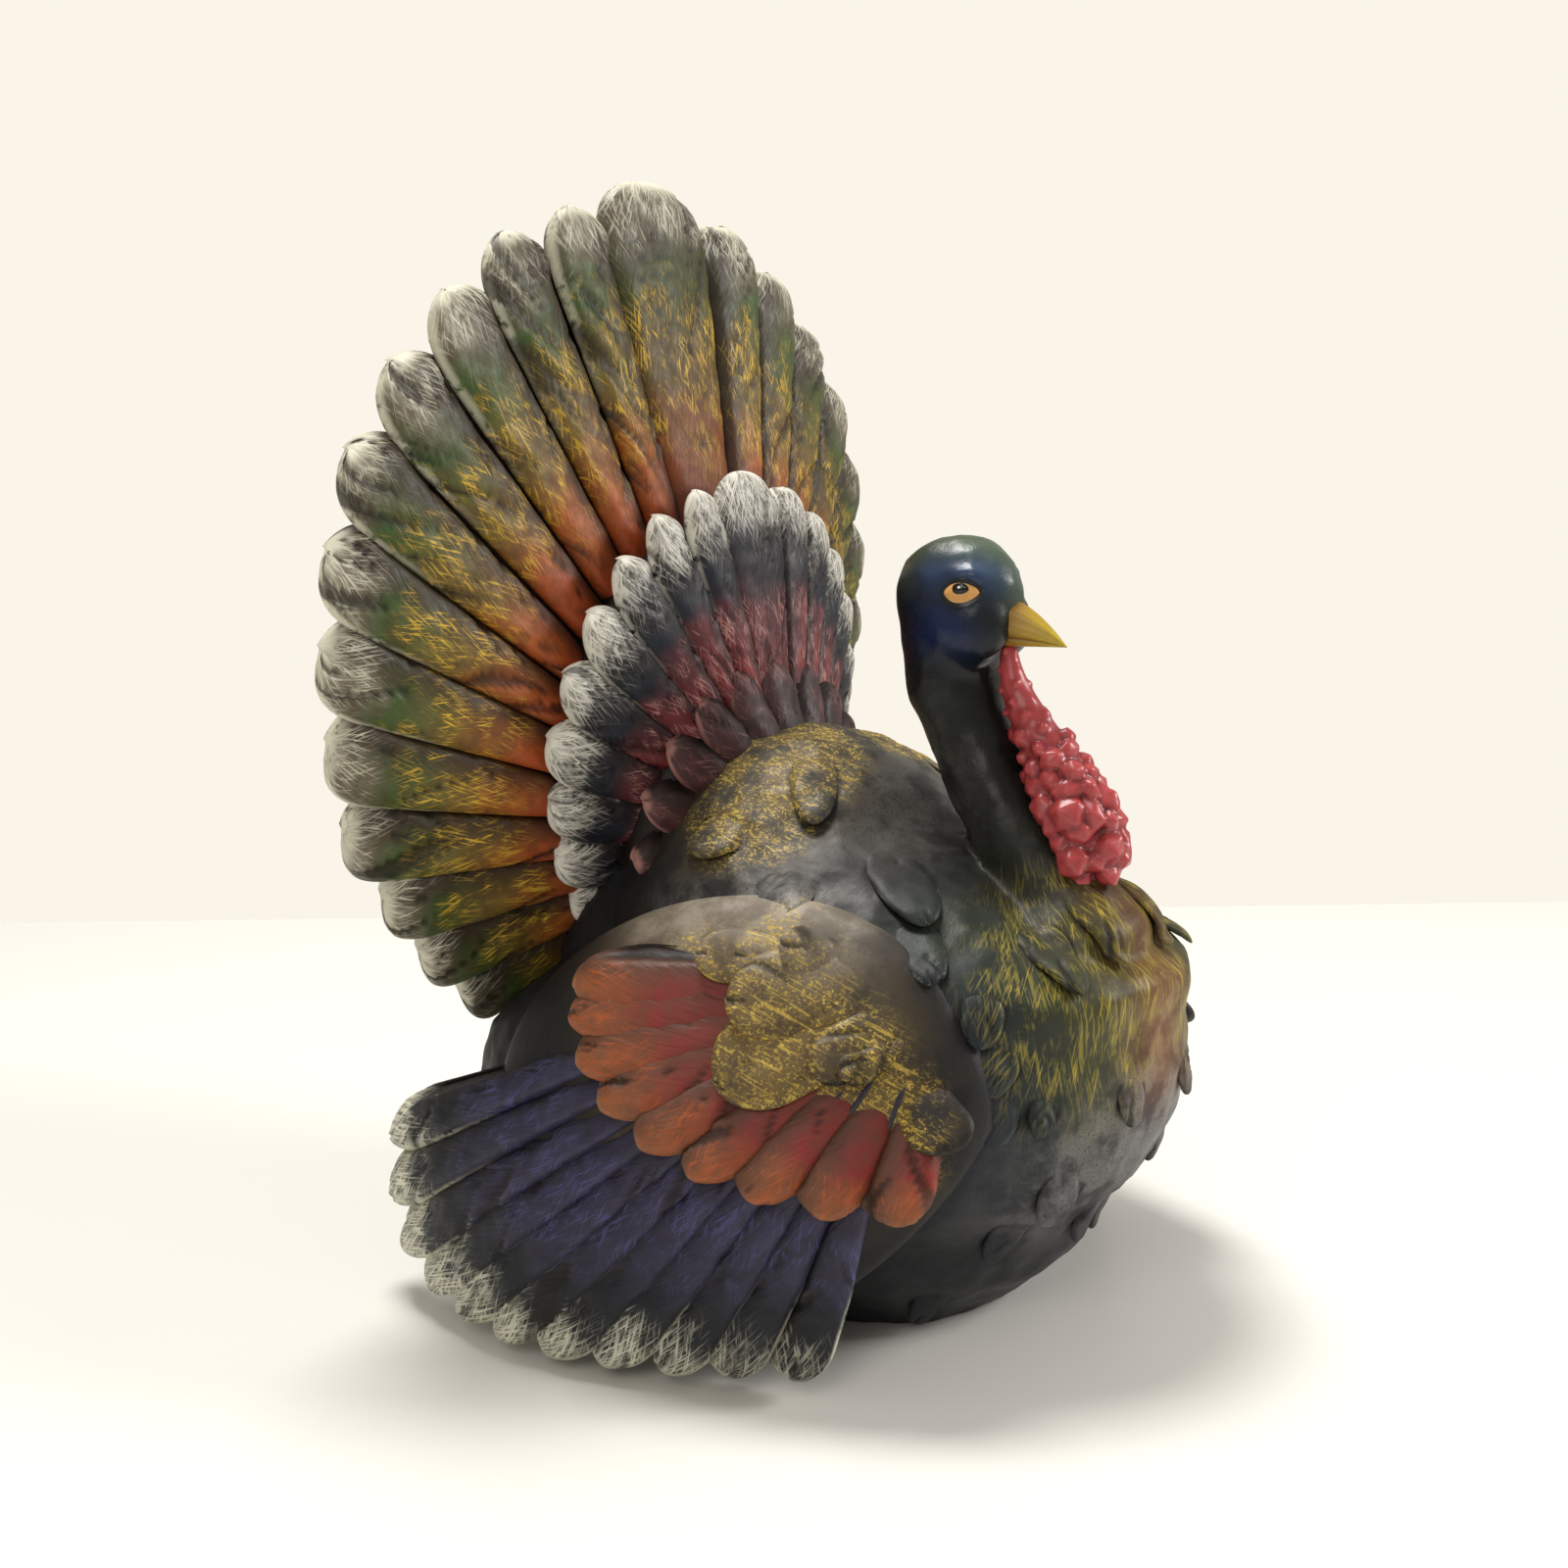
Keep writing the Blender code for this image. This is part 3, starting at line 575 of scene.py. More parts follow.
# %% What the carver does to one feather
def feather_fields(tree, given):
    """The height over the skin, and the marks that the paint reads later."""
    size = add(tree, "ShaderNodeSeparateXYZ", {}, add(tree, *VECTOR, "size"))
    along = add(tree, *NUMBER, "along")
    across = add(tree, *NUMBER, "across")
    rise = add(tree, *NUMBER, "rise")
    out = add(tree, *PRODUCT, across, size.outputs["X"])
    ahead = add(tree, *PRODUCT, along, size.outputs["Y"])
    number = add(tree, *SUM, add(tree, *NUMBER, "feather"), given["Seed"])
    grain = add(tree, "ShaderNodeCombineXYZ", {}, out, ahead, add(tree, *PRODUCT, number, 0.37))

    # Gouge cuts slant from the quill to the edge, and each half has its own
    side_out = add(tree, "ShaderNodeMath", {"operation": "ABSOLUTE"}, out)
    slanted = add(tree, *SCALED_SUM, side_out, -1.6, ahead)
    half = add(tree, "ShaderNodeMath", {"operation": "SIGN"}, across)
    cut_place = add(
        tree, "ShaderNodeCombineXYZ", {},
        add(tree, *RATIO, slanted, given["Cut spacing"]),
        add(tree, *PRODUCT, add(tree, *RATIO, out, given["Cut spacing"]), 0.28),
        add(tree, *SUM, add(tree, *PRODUCT, number, 7.3), add(tree, *PRODUCT, half, 3.1)),
    )
    cut_noise = add(tree, "ShaderNodeTexNoise", {}, {"Vector": cut_place, "Scale": 1.0, "Detail": 1.0})
    cut = add(tree, *SOFT_STEP, cut_noise, 0.60, 0.665)

    # The hand's unevenness is about 8 mm long, and the ditch lies beside the next feather
    hand = add(tree, "ShaderNodeTexNoise", {}, {"Vector": grain, "Scale": 130.0, "Detail": 1.5})
    uneven = add(tree, *PRODUCT, add(tree, *DIFFERENCE, hand, 0.5), given["Hand relief"])
    low_side = add(tree, *PRODUCT, across, add(tree, *PRODUCT, add(tree, *NUMBER, "raised"), -1.0))
    dip = add(tree, *SOFT_STEP, low_side, 0.36, 0.64)
    ditch = add(tree, *PRODUCT, dip, add(tree, *SOFT_STEP, along, 0.95, 0.84))
    on_top = add(tree, "ShaderNodeMath", {"operation": "GREATER_THAN"}, rise, 0.25)

    height = add(tree, *PRODUCT, rise, given["Thickness"])
    height = add(tree, *SUM, height, add(tree, *PRODUCT, along, given["Tip lift"]))
    rootward = add(tree, *DIFFERENCE, 1.0, along)
    height = add(tree, *DIFFERENCE, height, add(tree, *PRODUCT, rootward, given["Root sink"]))
    height = add(tree, *SUM, height, add(tree, *PRODUCT, out, add(tree, *NUMBER, "tilt")))
    height = add(tree, *SUM, height, add(tree, *PRODUCT, uneven, on_top))
    for part, depth in ((ditch, "Ditch depth"), (cut, "Cut depth")):
        carved = add(tree, *PRODUCT, add(tree, *PRODUCT, part, given[depth]), on_top)
        height = add(tree, *DIFFERENCE, height, carved)
    marks = {"grain": grain, "ditch": ditch, "cut": cut, "low_side": low_side}
    return height, marks


# %% [markdown]
# ## From flat to curved
# On the real bird the feathers follow the curve of the form below. A ray from every vertex
# against the feather's facing finds the skin there, and the vertex is set at that place,
# moved out along the skin's normal. A shrinkwrap modifier could do this as well, but a ray
# keeps the feather's outline as seen from its facing.

# %% Casting every vertex on to the skin
def wrap_on_skin(tree, given, geometry, height):
    """Drop each vertex against its feather's facing, and lift it again by its height."""
    skin = add(tree, "GeometryNodeObjectInfo", {}, {"Object": given["Skin"]})
    facing = add(tree, *VECTOR, "facing")
    start = add(tree, *MOVED, facing, given["Cast distance"], add(tree, "GeometryNodeInputPosition"))
    inwards = add(tree, "ShaderNodeVectorMath", {"operation": "SCALE"}, {0: facing, "Scale": -1.0})
    cast = add(
        tree, "GeometryNodeRaycast", {"data_type": "FLOAT_VECTOR", "mapping": "INTERPOLATED"},
        {
            "Target Geometry": skin.outputs["Geometry"],
            "Attribute": add(tree, "GeometryNodeInputNormal"),
            "Source Position": start,
            "Ray Direction": inwards,
            "Ray Length": 1.0,
        },
    )
    met = add(tree, "ShaderNodeVectorMath", {"operation": "NORMALIZE"}, cast.outputs["Attribute"])
    outwards = add(tree, "ShaderNodeVectorMath", {"operation": "FACEFORWARD"}, met, inwards, met)
    lifted = add(tree, *MOVED, outwards, height, cast.outputs["Hit Position"])
    return add(tree, "GeometryNodeSetPosition", {}, {"Geometry": geometry, "Position": lifted})


# %% [markdown]
# ## The whole tree
# The parts come together: a blank on each point, made real, its marks stored, its vertices
# cast on to the skin, and its paint set. A modifier for each row gives the tree its numbers.

# %% The feather-laying tree
LAYING_SIZES = (
    "Thickness", "Tip lift", "Root sink", "Ditch depth", "Cut depth", "Cut spacing", "Hand relief",
    "Cast distance", "Seed",
)


def laying_tree():
    sockets = [("Blank", "Object"), ("Skin", "Object"), ("Paint", "Material")]
    tree, given = new_tree("lay_feathers", sockets + [(label, "Float") for label in LAYING_SIZES])
    blank = add(tree, "GeometryNodeObjectInfo", {}, {"Object": given["Blank"]})
    placed = add(
        tree, "GeometryNodeInstanceOnPoints", {},
        {
            "Points": given["Geometry"],
            "Instance": blank.outputs["Geometry"],
            "Rotation": add(tree, *VECTOR, "turn"),
            "Scale": add(tree, *VECTOR, "size"),
        },
    )
    laid = add(tree, "GeometryNodeRealizeInstances", {}, {"Geometry": placed})
    height, marks = feather_fields(tree, given)
    for name, mark in marks.items():
        kind = "FLOAT_VECTOR" if name == "grain" else "FLOAT"
        laid = add(
            tree, "GeometryNodeStoreNamedAttribute", {"data_type": kind, "domain": "POINT"},
            {"Geometry": laid, "Name": name, "Value": mark},
        )
    return end_tree(tree, wrap_on_skin(tree, given, laid, height), given["Paint"])


LAYING_TREE = laying_tree()
print("inputs of the laying tree:", len(LAYING_SIZES) + 3)


# %% [markdown]
# ## Rows of feathers
# A row is a list of entries: where each root sits, where it heads, how wide and long it is
# and which edge stands proud. Once laid it is turned into a plain mesh, as the casting is one
# piece, and the solid that every piece stands for is hidden.

# %% Lay a set of feathers
def layout_points(name, feathers):
    """A point for each feather, from entries with its root, heading, facing, sizes and tilt."""
    mesh = mesh_from(name, [entry["root"] for entry in feathers], [])
    turns = []
    for entry in feathers:
        up = Vector(entry["facing"]).normalized()
        ahead = Vector(entry["heading"])
        ahead = (ahead - up * ahead.dot(up)).normalized()
        turns.append(Matrix((ahead.cross(up), ahead, up)).transposed().to_euler())
    vectors = {
        "turn": turns,
        "size": [(entry["half_width"], entry["length"], 1) for entry in feathers],
        "facing": [Vector(entry["facing"]).normalized() for entry in feathers],
    }
    for key, values in vectors.items():
        store(mesh, key, [tuple(value) for value in values], "FLOAT_VECTOR")
    store(mesh, "feather", range(len(feathers)))
    for key, usual in (("tilt", 0), ("raised", 0), ("pale", 1)):
        store(mesh, key, [entry.get(key, usual) for entry in feathers])
    return link(name, mesh)


def settle(carrier, name):
    """Turn an object with live modifiers into a plain mesh object of that name."""
    bpy.context.view_layer.update()
    graph = bpy.context.evaluated_depsgraph_get()
    mesh = bpy.data.meshes.new_from_object(carrier.evaluated_get(graph))
    bpy.data.objects.remove(carrier)
    mesh.name = name
    return link(name, mesh)


def lay_feathers(name, feathers, blank, skin, paint, sizes):
    """Lay feathers on a skin with the tree, and return them as one plain mesh."""
    carrier = layout_points(name + "_layout", feathers)
    wanted = {"Blank": blank, "Skin": skin, "Paint": paint, "Cast distance": 0.2, **sizes}
    give_inputs(carrier.modifiers.new("laid", "NODES"), LAYING_TREE, wanted)
    piece = settle(carrier, name)
    print(name, len(feathers), "feathers,", len(piece.data.polygons), "faces")
    return piece


def finish_piece(piece, paint=None):
    """Every piece stands for the one casting: it is shaded smooth, takes its paint where one is given, hangs
    from the root and hides the solid.
    """
    piece.data.shade_smooth()
    if paint:
        piece.data.materials.clear()
        piece.data.materials.append(paint)
    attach(piece, "root")
    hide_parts("turkey")


# %% [markdown]
# ## The paint recipe
# Each feather is painted in the same five steps, and the shader repeats them: a base coat
# that changes from root to tip, a thin umber glaze that dulls it unevenly, scratchy dry-brush
# in one zone, a pale dry-brush on the tip and on edges, and a nearly black wash that stays in
# ditches, gouge cuts and hollows, where it is partly painted shade. Attributes from the
# laying tree say where each one goes.


# %% Brushwork shared by all paints
def bristles(tree, place, turn, width, length, wander=0.6):
    """Brush-hair noise: strokes of a width and length, at an angle across the surface."""
    turned = add(
        tree, "ShaderNodeVectorRotate", {"rotation_type": "EULER_XYZ"}, {"Vector": place, "Rotation": turn}
    )
    stretch = (1.0, width / length, 1.0)
    stretched = add(tree, "ShaderNodeVectorMath", {"operation": "MULTIPLY"}, turned, stretch)
    return add(
        tree, "ShaderNodeTexNoise", {},
        {"Vector": stretched, "Scale": 0.5 / width, "Detail": 3.0, "Roughness": 0.55, "Distortion": wander},
    )


def clouds(tree, place, width, detail, roughness=0.5):
    """Soft noise whose blots are about this wide."""
    return add(
        tree, "ShaderNodeTexNoise", {},
        {"Vector": place, "Scale": 1 / width, "Detail": detail, "Roughness": roughness},
    )


# %% [markdown]
# ## The feather paint
# A painter needs a few seconds for each feather, and what the eye reads as hand work is the
# order of the coats: where they stop, skip and gather. The same material therefore serves all
# feather rows. Only the colours from root to tip and the places of the strokes change.

# %% The feather paint
WASH_AND_SHADE = "150d0a"
FEATHER_ROUGHNESS = (0.40, 0.60)


def feather_resin(
    name, coats, streak, streak_zone, tip, tip_zone, glaze, glaze_amount, tucked_tint_and_shade=None,
    tip_cover=0.5, edge_light=0.8,
):
    """Hand-painted cast polyresin: satin acrylic over a dark wash, so that ridges read light. The dark in
    ditches, hollows and cuts is partly that wash, partly painted shade.
    """
    material, tree, shader = new_paint(name)
    read = {
        key: add(tree, "ShaderNodeAttribute", {"attribute_name": key}).outputs["Fac"]
        for key in ("along", "ditch", "cut", "low_side", "pale")
    }
    grain = add(tree, "ShaderNodeAttribute", {"attribute_name": "grain"}).outputs["Vector"]
    place = add(tree, "ShaderNodeTexCoord").outputs["Object"]
    drift = add(tree, *SCALED_SUM, clouds(tree, place, 1 / 90, 3.0), 0.20, -0.10)
    zone = add(tree, *SUM, read["along"], drift)

    ramp = add(tree, "ShaderNodeValToRGB", {}, {"Fac": zone})
    elements = ramp.color_ramp.elements
    while len(elements) < len(coats):
        elements.new(1.0)
    for element, (spot, code) in zip(elements, coats):
        element.position = spot
        element.color = colour(code)
    paint = ramp

    # The side tucked under the next feather is painted browner and darker than the side that stands proud,
    # partly as painted shade under that feather's proud edge
    lower = add(tree, *SOFT_STEP, read["low_side"], -0.40, 0.40)
    cloud = clouds(tree, place, 1 / 260, 5.0, 0.6)
    uneven = add(tree, *SOFT_STEP, cloud, 0.36, 0.66)
    if tucked_tint_and_shade:
        paint = add(tree, *COAT_OVER, add(tree, *BOTH, lower, 0.88), paint, colour(tucked_tint_and_shade))
    paint = add(tree, *COAT_OVER, add(tree, *BOTH, uneven, glaze_amount), paint, colour(glaze))

    # Bristle marks about 0.2 mm wide, crossing at a shallow angle as a hand moves
    first = bristles(tree, grain, (0, 0, 0.24), 0.00020, 0.0036, 0.3)
    second = bristles(tree, grain, (0, 0, -0.50), 0.00022, 0.0026, 0.3)
    hairs = add(tree, *LARGER, first, second)
    patch = add(
        tree, "ShaderNodeTexNoise", {}, {"Vector": grain, "Scale": 130.0, "Detail": 2.0, "Distortion": 1.0}
    )
    enter = add(tree, *SOFT_STEP, zone, streak_zone[0], streak_zone[1])
    leave = add(tree, *SOFT_STEP, zone, streak_zone[3], streak_zone[2])
    here = add(tree, *BOTH, add(tree, *BOTH, enter, leave), add(tree, *SOFT_STEP, patch, 0.38, 0.62))
    here = add(tree, *BOTH, here, add(tree, *SOFT_STEP, read["low_side"], 0.60, 0.05))
    drawn = add(tree, *BOTH, add(tree, *SOFT_STEP, hairs, 0.53, 0.64), here)
    paint = add(tree, *COAT_OVER, drawn, paint, colour(streak))

    # The tip is brushed with a nearly dry pale colour that skips over the surface
    reach = add(tree, *BOTH, add(tree, *SOFT_STEP, zone, tip_zone[0], tip_zone[1]), read["pale"])
    pressed = add(tree, *SCALED_SUM, reach, tip_cover * 0.22, hairs)
    brushed = add(tree, *BOTH, add(tree, *SOFT_STEP, pressed, 0.58, 0.80), reach)
    paint = add(tree, *COAT_OVER, add(tree, *BOTH, brushed, 0.9), paint, colour(tip))

    # Edges that stand proud catch the brush: the crest of each feather and its rim
    shape = add(tree, "ShaderNodeNewGeometry").outputs["Pointiness"]
    standing = add(tree, *SOFT_STEP, read["low_side"], -0.88, -0.98)
    round_end = add(tree, *SOFT_STEP, read["along"], 0.965, 0.995)
    rim = add(tree, *LARGER, standing, round_end)
    crest = add(tree, *LARGER, rim, add(tree, *SOFT_STEP, shape, 0.535, 0.60))
    near_tip = add(tree, *SOFT_STEP, zone, tip_zone[0] - 0.22, tip_zone[1] - 0.05)
    caught = add(tree, *BOTH, add(tree, *BOTH, crest, near_tip), edge_light)
    broken = add(tree, *SOFT_STEP, cloud, 0.34, 0.48)
    paint = add(tree, *COAT_OVER, add(tree, *BOTH, caught, broken), paint, colour(tip))

    # Near black in ditches, hollows and cuts: partly a settled wash, partly painted shade
    wash_and_shade = add(tree, *LARGER, read["ditch"], add(tree, *SOFT_STEP, shape, 0.480, 0.43))
    wash_and_shade = add(tree, *LARGER, wash_and_shade, add(tree, *BOTH, read["cut"], 0.75))
    paint = add(tree, *COAT_OVER, add(tree, *BOTH, wash_and_shade, 0.95), paint, colour(WASH_AND_SHADE))

    tree.links.new(paint.outputs[0], shader.inputs["Base Color"])
    satin = add(tree, "ShaderNodeMapRange", {}, cloud, 0.3, 0.7, *FEATHER_ROUGHNESS)
    tree.links.new(satin.outputs[0], shader.inputs["Roughness"])
    shader.inputs["IOR"].default_value = 1.5
    shader.inputs["Specular IOR Level"].default_value = 0.3

    # Knife and bristle relief of a tenth of a millimetre or so
    knife = bristles(tree, grain, (0, 0, 0.45), 0.0006, 0.0060)
    relief = add(tree, *SCALED_SUM, hairs, 0.25, knife)
    bump = add(tree, "ShaderNodeBump", {}, {"Strength": 0.5, "Distance": 0.0005, "Height": relief})
    tree.links.new(bump.outputs[0], shader.inputs["Normal"])
    return material


TAIL_PAINT = feather_resin(
    "tail_acrylic_on_resin",
    coats=(
        (0.0, "74260f"), (0.42, "a84620"), (0.56, "a05422"), (0.66, "765a28"), (0.76, "5c5a2a"),
        (0.84, "3a5224"), (0.91, "605c46"), (1.0, "8e8678"),
    ),
    streak="d0a834", streak_zone=(0.50, 0.62, 0.78, 0.87),
    tip="d8d5c0", tip_zone=(0.84, 0.98), glaze="443020", glaze_amount=0.45, tucked_tint_and_shade="2c2118",
)
COVERT_PAINT = feather_resin(
    "covert_acrylic_on_resin",
    coats=(
        (0.0, "4a1c1c"), (0.42, "843234"), (0.60, "6a2c30"), (0.70, "161c2a"), (0.82, "1c1f26"),
        (1.0, "84807a"),
    ),
    streak="b48480", streak_zone=(0.30, 0.45, 0.60, 0.68), tucked_tint_and_shade="221a1c",
    tip="e2dfd2", tip_zone=(0.70, 0.95), glaze="2c2426", glaze_amount=0.45, tip_cover=0.8,
)
LOBE_PAINT = feather_resin(
    "rump_acrylic_on_resin",
    coats=((0.0, "201d1c"), (0.5, "2e2624"), (0.75, "4a2c2e"), (1.0, "583234")),
    streak="7a5450", streak_zone=(0.5, 0.7, 0.9, 1.1), tucked_tint_and_shade="251b1b",
    tip="b08078", tip_zone=(0.90, 1.02), glaze="2b2322", glaze_amount=0.5, tip_cover=0.2,
)
PRIMARY_PAINT = feather_resin(
    "primary_acrylic_on_resin",
    coats=(
        (0.0, "34323c"), (0.50, "37344e"), (0.66, "2c2a40"), (0.78, "12161f"), (0.90, "1a1d22"),
        (1.0, "4a4a44"),
    ),
    streak="4a4674", streak_zone=(0.36, 0.48, 0.62, 0.74), tip_cover=0.8,
    tip="dedcc6", tip_zone=(0.78, 0.94), glaze="252426", glaze_amount=0.5, tucked_tint_and_shade="17171a",
)
SHIELD_PAINT = feather_resin(
    "shield_acrylic_on_resin",
    coats=((0.0, "5c4034"), (0.40, "742a26"), (0.70, "842c28"), (0.82, "8e4a2a"), (1.0, "8e5a38")),
    streak="a65228", streak_zone=(0.70, 0.82, 0.95, 1.05),
    tip="a57a58", tip_zone=(0.95, 1.05), glaze="5a4232", glaze_amount=0.45, tucked_tint_and_shade="54392c",
    tip_cover=0.2, edge_light=0.5,
)
REAR_PAINT = feather_resin(
    "fan_back_acrylic_on_resin",
    coats=((0.0, "2a211c"), (0.6, "3f3026"), (0.85, "4a4436"), (1.0, "6c675c")),
    streak="7a5a34", streak_zone=(0.4, 0.6, 0.8, 0.95),
    tip="c9c6b4", tip_zone=(0.90, 1.0), glaze="2c241f", glaze_amount=0.5,
)
print("paints:", [m.name for m in bpy.data.materials])


# %% [markdown]
# ## The tail
# The fan has three rows. In each the feathers overlap like shingles: the centre one lies on
# top and every next one tucks under, with its lower edge standing proud. The tilt that does
# this changes sign from one side of the bird to the other. A plain plate behind each row
# closes the gaps between its feathers, and the fan's back is carved too, only shallower.


# %% Lay the tail's rows
FRONT = Vector((0, -1, 0))
BEHIND = Vector((0, 1, 0))
UNEVEN_LENGTH = 0.01
ROOT_SHARE = 0.10


def row_feathers(row, crest, tilt, overlap, centre_wide=1.0, facing=FRONT, shrink=1.0):
    """Roots, headings and sizes of one tail row, from the lowest pair up to the centre."""
    rng = np.random.default_rng(7)
    feathers = []
    for k in range(row.pairs - 1, -1, -1):
        angle = row.angle(k)
        half_width = overlap * row.radius * (row.angle(k + 0.5) - row.angle(k - 0.5)) / 2
        for side in (-1, 1):
            reach = row.radius * shrink * (1 + UNEVEN_LENGTH * rng.uniform(-1, 1))
            spot = Vector((side * reach * math.sin(angle), 0, row.centre_z + reach * math.cos(angle)))
            root = Vector((spot.x * ROOT_SHARE, 0, HUB_Z + (spot.z - HUB_Z) * ROOT_SHARE))
            feathers.append(
                {
                    "root": root, "heading": spot - root, "facing": facing,
                    "half_width": half_width, "length": (spot - root).length,
                    "tilt": side * tilt, "raised": side,
                }
            )
    spot = Vector((0, 0, row.centre_z + (row.radius + crest) * shrink))
    root = Vector((0, 0, HUB_Z * 1.05))
    feathers.append(
        {
            "root": root, "heading": spot - root, "facing": facing,
            "half_width": overlap * row.radius * row.angle(-0.5) * centre_wide,
            "length": (spot - root).length, "tilt": 0, "raised": 0,
        }
    )
    return feathers


tail_blank = feather_blank("tail_blank", 0.05, 0.13, 92, 24, 1.0, 2.8, 0.2)
rear_blank = feather_blank("rear_blank", 0.12, 0.13, 48, 16, 1.0, 2.8, 0.25)
covert_blank = feather_blank("covert_blank", 0.10, 0.22, 60, 24, 1.0, 2.5, 0.3)
lobe_blank = feather_blank("lobe_blank", 0.40, 0.30, 40, 20)
tail_skin = link("tail_skin", TAIL.skin())
covert_skin = link("covert_skin", COVERTS.skin())
lobe_skin = link("lobe_skin", LOBES.skin())


def backing(row, thickness, reach, paint, name):
    """Plain plate behind a row, so that no gap shows between its feathers."""
    turns = 2 * np.pi * np.arange(144) / 144
    shares = np.linspace(0.15, reach, 14)
    front = row.surface(turns[None, :], shares[:, None])
    edge = row.surface(turns[None, :], np.array([[reach + 0.012]])) + np.array((0, thickness * 0.5, 0))
    behind = front[::-1] + np.array((0, thickness, 0))
    points, faces = ring_shell(np.concatenate([front, edge, behind]))
    finish_piece(link(name, mesh_from(name, points, [face[::-1] for face in faces])), paint)


backing(TAIL, 0.0022, 0.89, REAR_PAINT, "tail_backing")
backing(COVERTS, 0.0092, 0.88, LOBE_PAINT, "covert_backing")
backing(LOBES, 0.0100, 0.88, LOBE_PAINT, "lobe_backing")
rear = lay_feathers(
    "fan_back", row_feathers(TAIL, TAIL_CREST, 0.06, 1.0, facing=BEHIND, shrink=0.985),
    rear_blank, tail_skin, REAR_PAINT,
    {
        "Thickness": 0.0030, "Tip lift": 0.0, "Root sink": -0.0036, "Ditch depth": 0.0010,
        "Cut depth": 0.0005, "Cut spacing": 0.0070, "Hand relief": 0.0010, "Seed": 8.0,
    },
)
finish_piece(rear)
tail = lay_feathers(
    "tail_fan", row_feathers(TAIL, TAIL_CREST, 0.17, 1.10, shrink=0.992), tail_blank, tail_skin, TAIL_PAINT,
    {
        "Thickness": 0.0050, "Tip lift": 0.0, "Root sink": 0.0, "Ditch depth": 0.0034,
        "Cut depth": 0.0010, "Cut spacing": 0.0058, "Hand relief": 0.0014, "Seed": 1.0,
    },
)
finish_piece(tail)
coverts = lay_feathers(
    "tail_coverts", row_feathers(COVERTS, COVERT_RADIUS * 0.03, 0.17, 1.10, 1.15), covert_blank,
    covert_skin, COVERT_PAINT,
    {
        "Thickness": 0.0044, "Tip lift": 0.0, "Root sink": 0.0, "Ditch depth": 0.0024,
        "Cut depth": 0.0008, "Cut spacing": 0.0030, "Hand relief": 0.0012, "Seed": 2.0,
    },
)
finish_piece(coverts)
lobes = lay_feathers(
    "rump_lobes", row_feathers(LOBES, 0.0, 0.15, 1.0), lobe_blank, lobe_skin, LOBE_PAINT,
    {
        "Thickness": 0.0042, "Tip lift": 0.0, "Root sink": 0.0, "Ditch depth": 0.0010,
        "Cut depth": 0.0006, "Cut spacing": 0.0040, "Hand relief": 0.0012, "Seed": 3.0,
    },
)
finish_piece(lobes)

# %% [markdown]
# ## The wings
# Each wing is a thick slab with two fans of feathers on it: long primaries whose tips follow
# a squared arc along the rear and bottom, and a shield of short coverts over their roots.
# They could be drawn one by one. Points at even steps along one arc give the same even fan,
# and the roots only have to move along the wrist.


# %% The wing layouts
def squared_arc(centre, reach_y, reach_z, power, count, crowding=1.0):
    """Points on a squared quarter arc from the rear to straight down, crowded at the rear."""
    turns = np.linspace(0, 0.5 * np.pi, 401)
    path = np.stack(
        [
            centre[0] + reach_y * np.abs(np.cos(turns)) ** (2 / power),
            centre[1] - reach_z * np.abs(np.sin(turns)) ** (2 / power),
        ],
        -1,
    )
    travelled = np.concatenate([[0], np.cumsum(np.linalg.norm(np.diff(path, axis=0), axis=1))])
    goals = travelled[-1] * np.linspace(0, 1, count) ** crowding
    return [tuple(path[np.argmin(np.abs(travelled - goal))]) for goal in goals]


def wing_feather(side, root, tip, half_width, tilt):
    root = Vector((0, root[0], root[1]))
    tip = Vector((0, tip[0], tip[1]))
    return {
        "root": root, "heading": tip - root, "facing": Vector((side, 0, 0)),
        "half_width": half_width, "length": (tip - root).length,
        "tilt": tilt * side, "raised": side,
    }


def primaries(side, count=11):
    centre = (WRIST_Y + BODY_LENGTH * 0.105, WING_TIPS_Z)
    tips = squared_arc(centre, WING_REAR_Y - centre[0], WING_TIPS_Z - WING_TIP_LIFT, 4.2, count)
    feathers = []
    for k in range(count - 1, -1, -1):
        share = k / (count - 1)
        root = (
            WRIST_Y + BODY_LENGTH * (0.12 - 0.16 * share),
            WRIST_Z + BODY_HEIGHT * (0.10 - 0.14 * share),
        )
        half_width = BODY_HEIGHT * (0.054 + 0.018 * math.sin(math.pi * share))
        feathers.append(wing_feather(side, root, tips[k], half_width, 0.30))
        feathers[-1]["pale"] = 1.5 - 0.9 * share
    return feathers


def shield(side, count=9):
    centre = (WRIST_Y - BODY_LENGTH * 0.033, WRIST_Z + BODY_HEIGHT * 0.045)
    tips = squared_arc(centre, BODY_LENGTH * 0.474, BODY_HEIGHT * 0.284, 2.05, count, 1.26)
    feathers = []
    for k in range(count - 1, -1, -1):
        share = k / (count - 1)
        root = np.array((WRIST_Y - BODY_LENGTH * 0.10 * share, WRIST_Z + BODY_HEIGHT * 0.12))
        root += (np.array(tips[k]) - root) * 0.35 * share**2
        feathers.append(wing_feather(side, root, tips[k], BODY_HEIGHT * 0.058, 0.16))
    return feathers


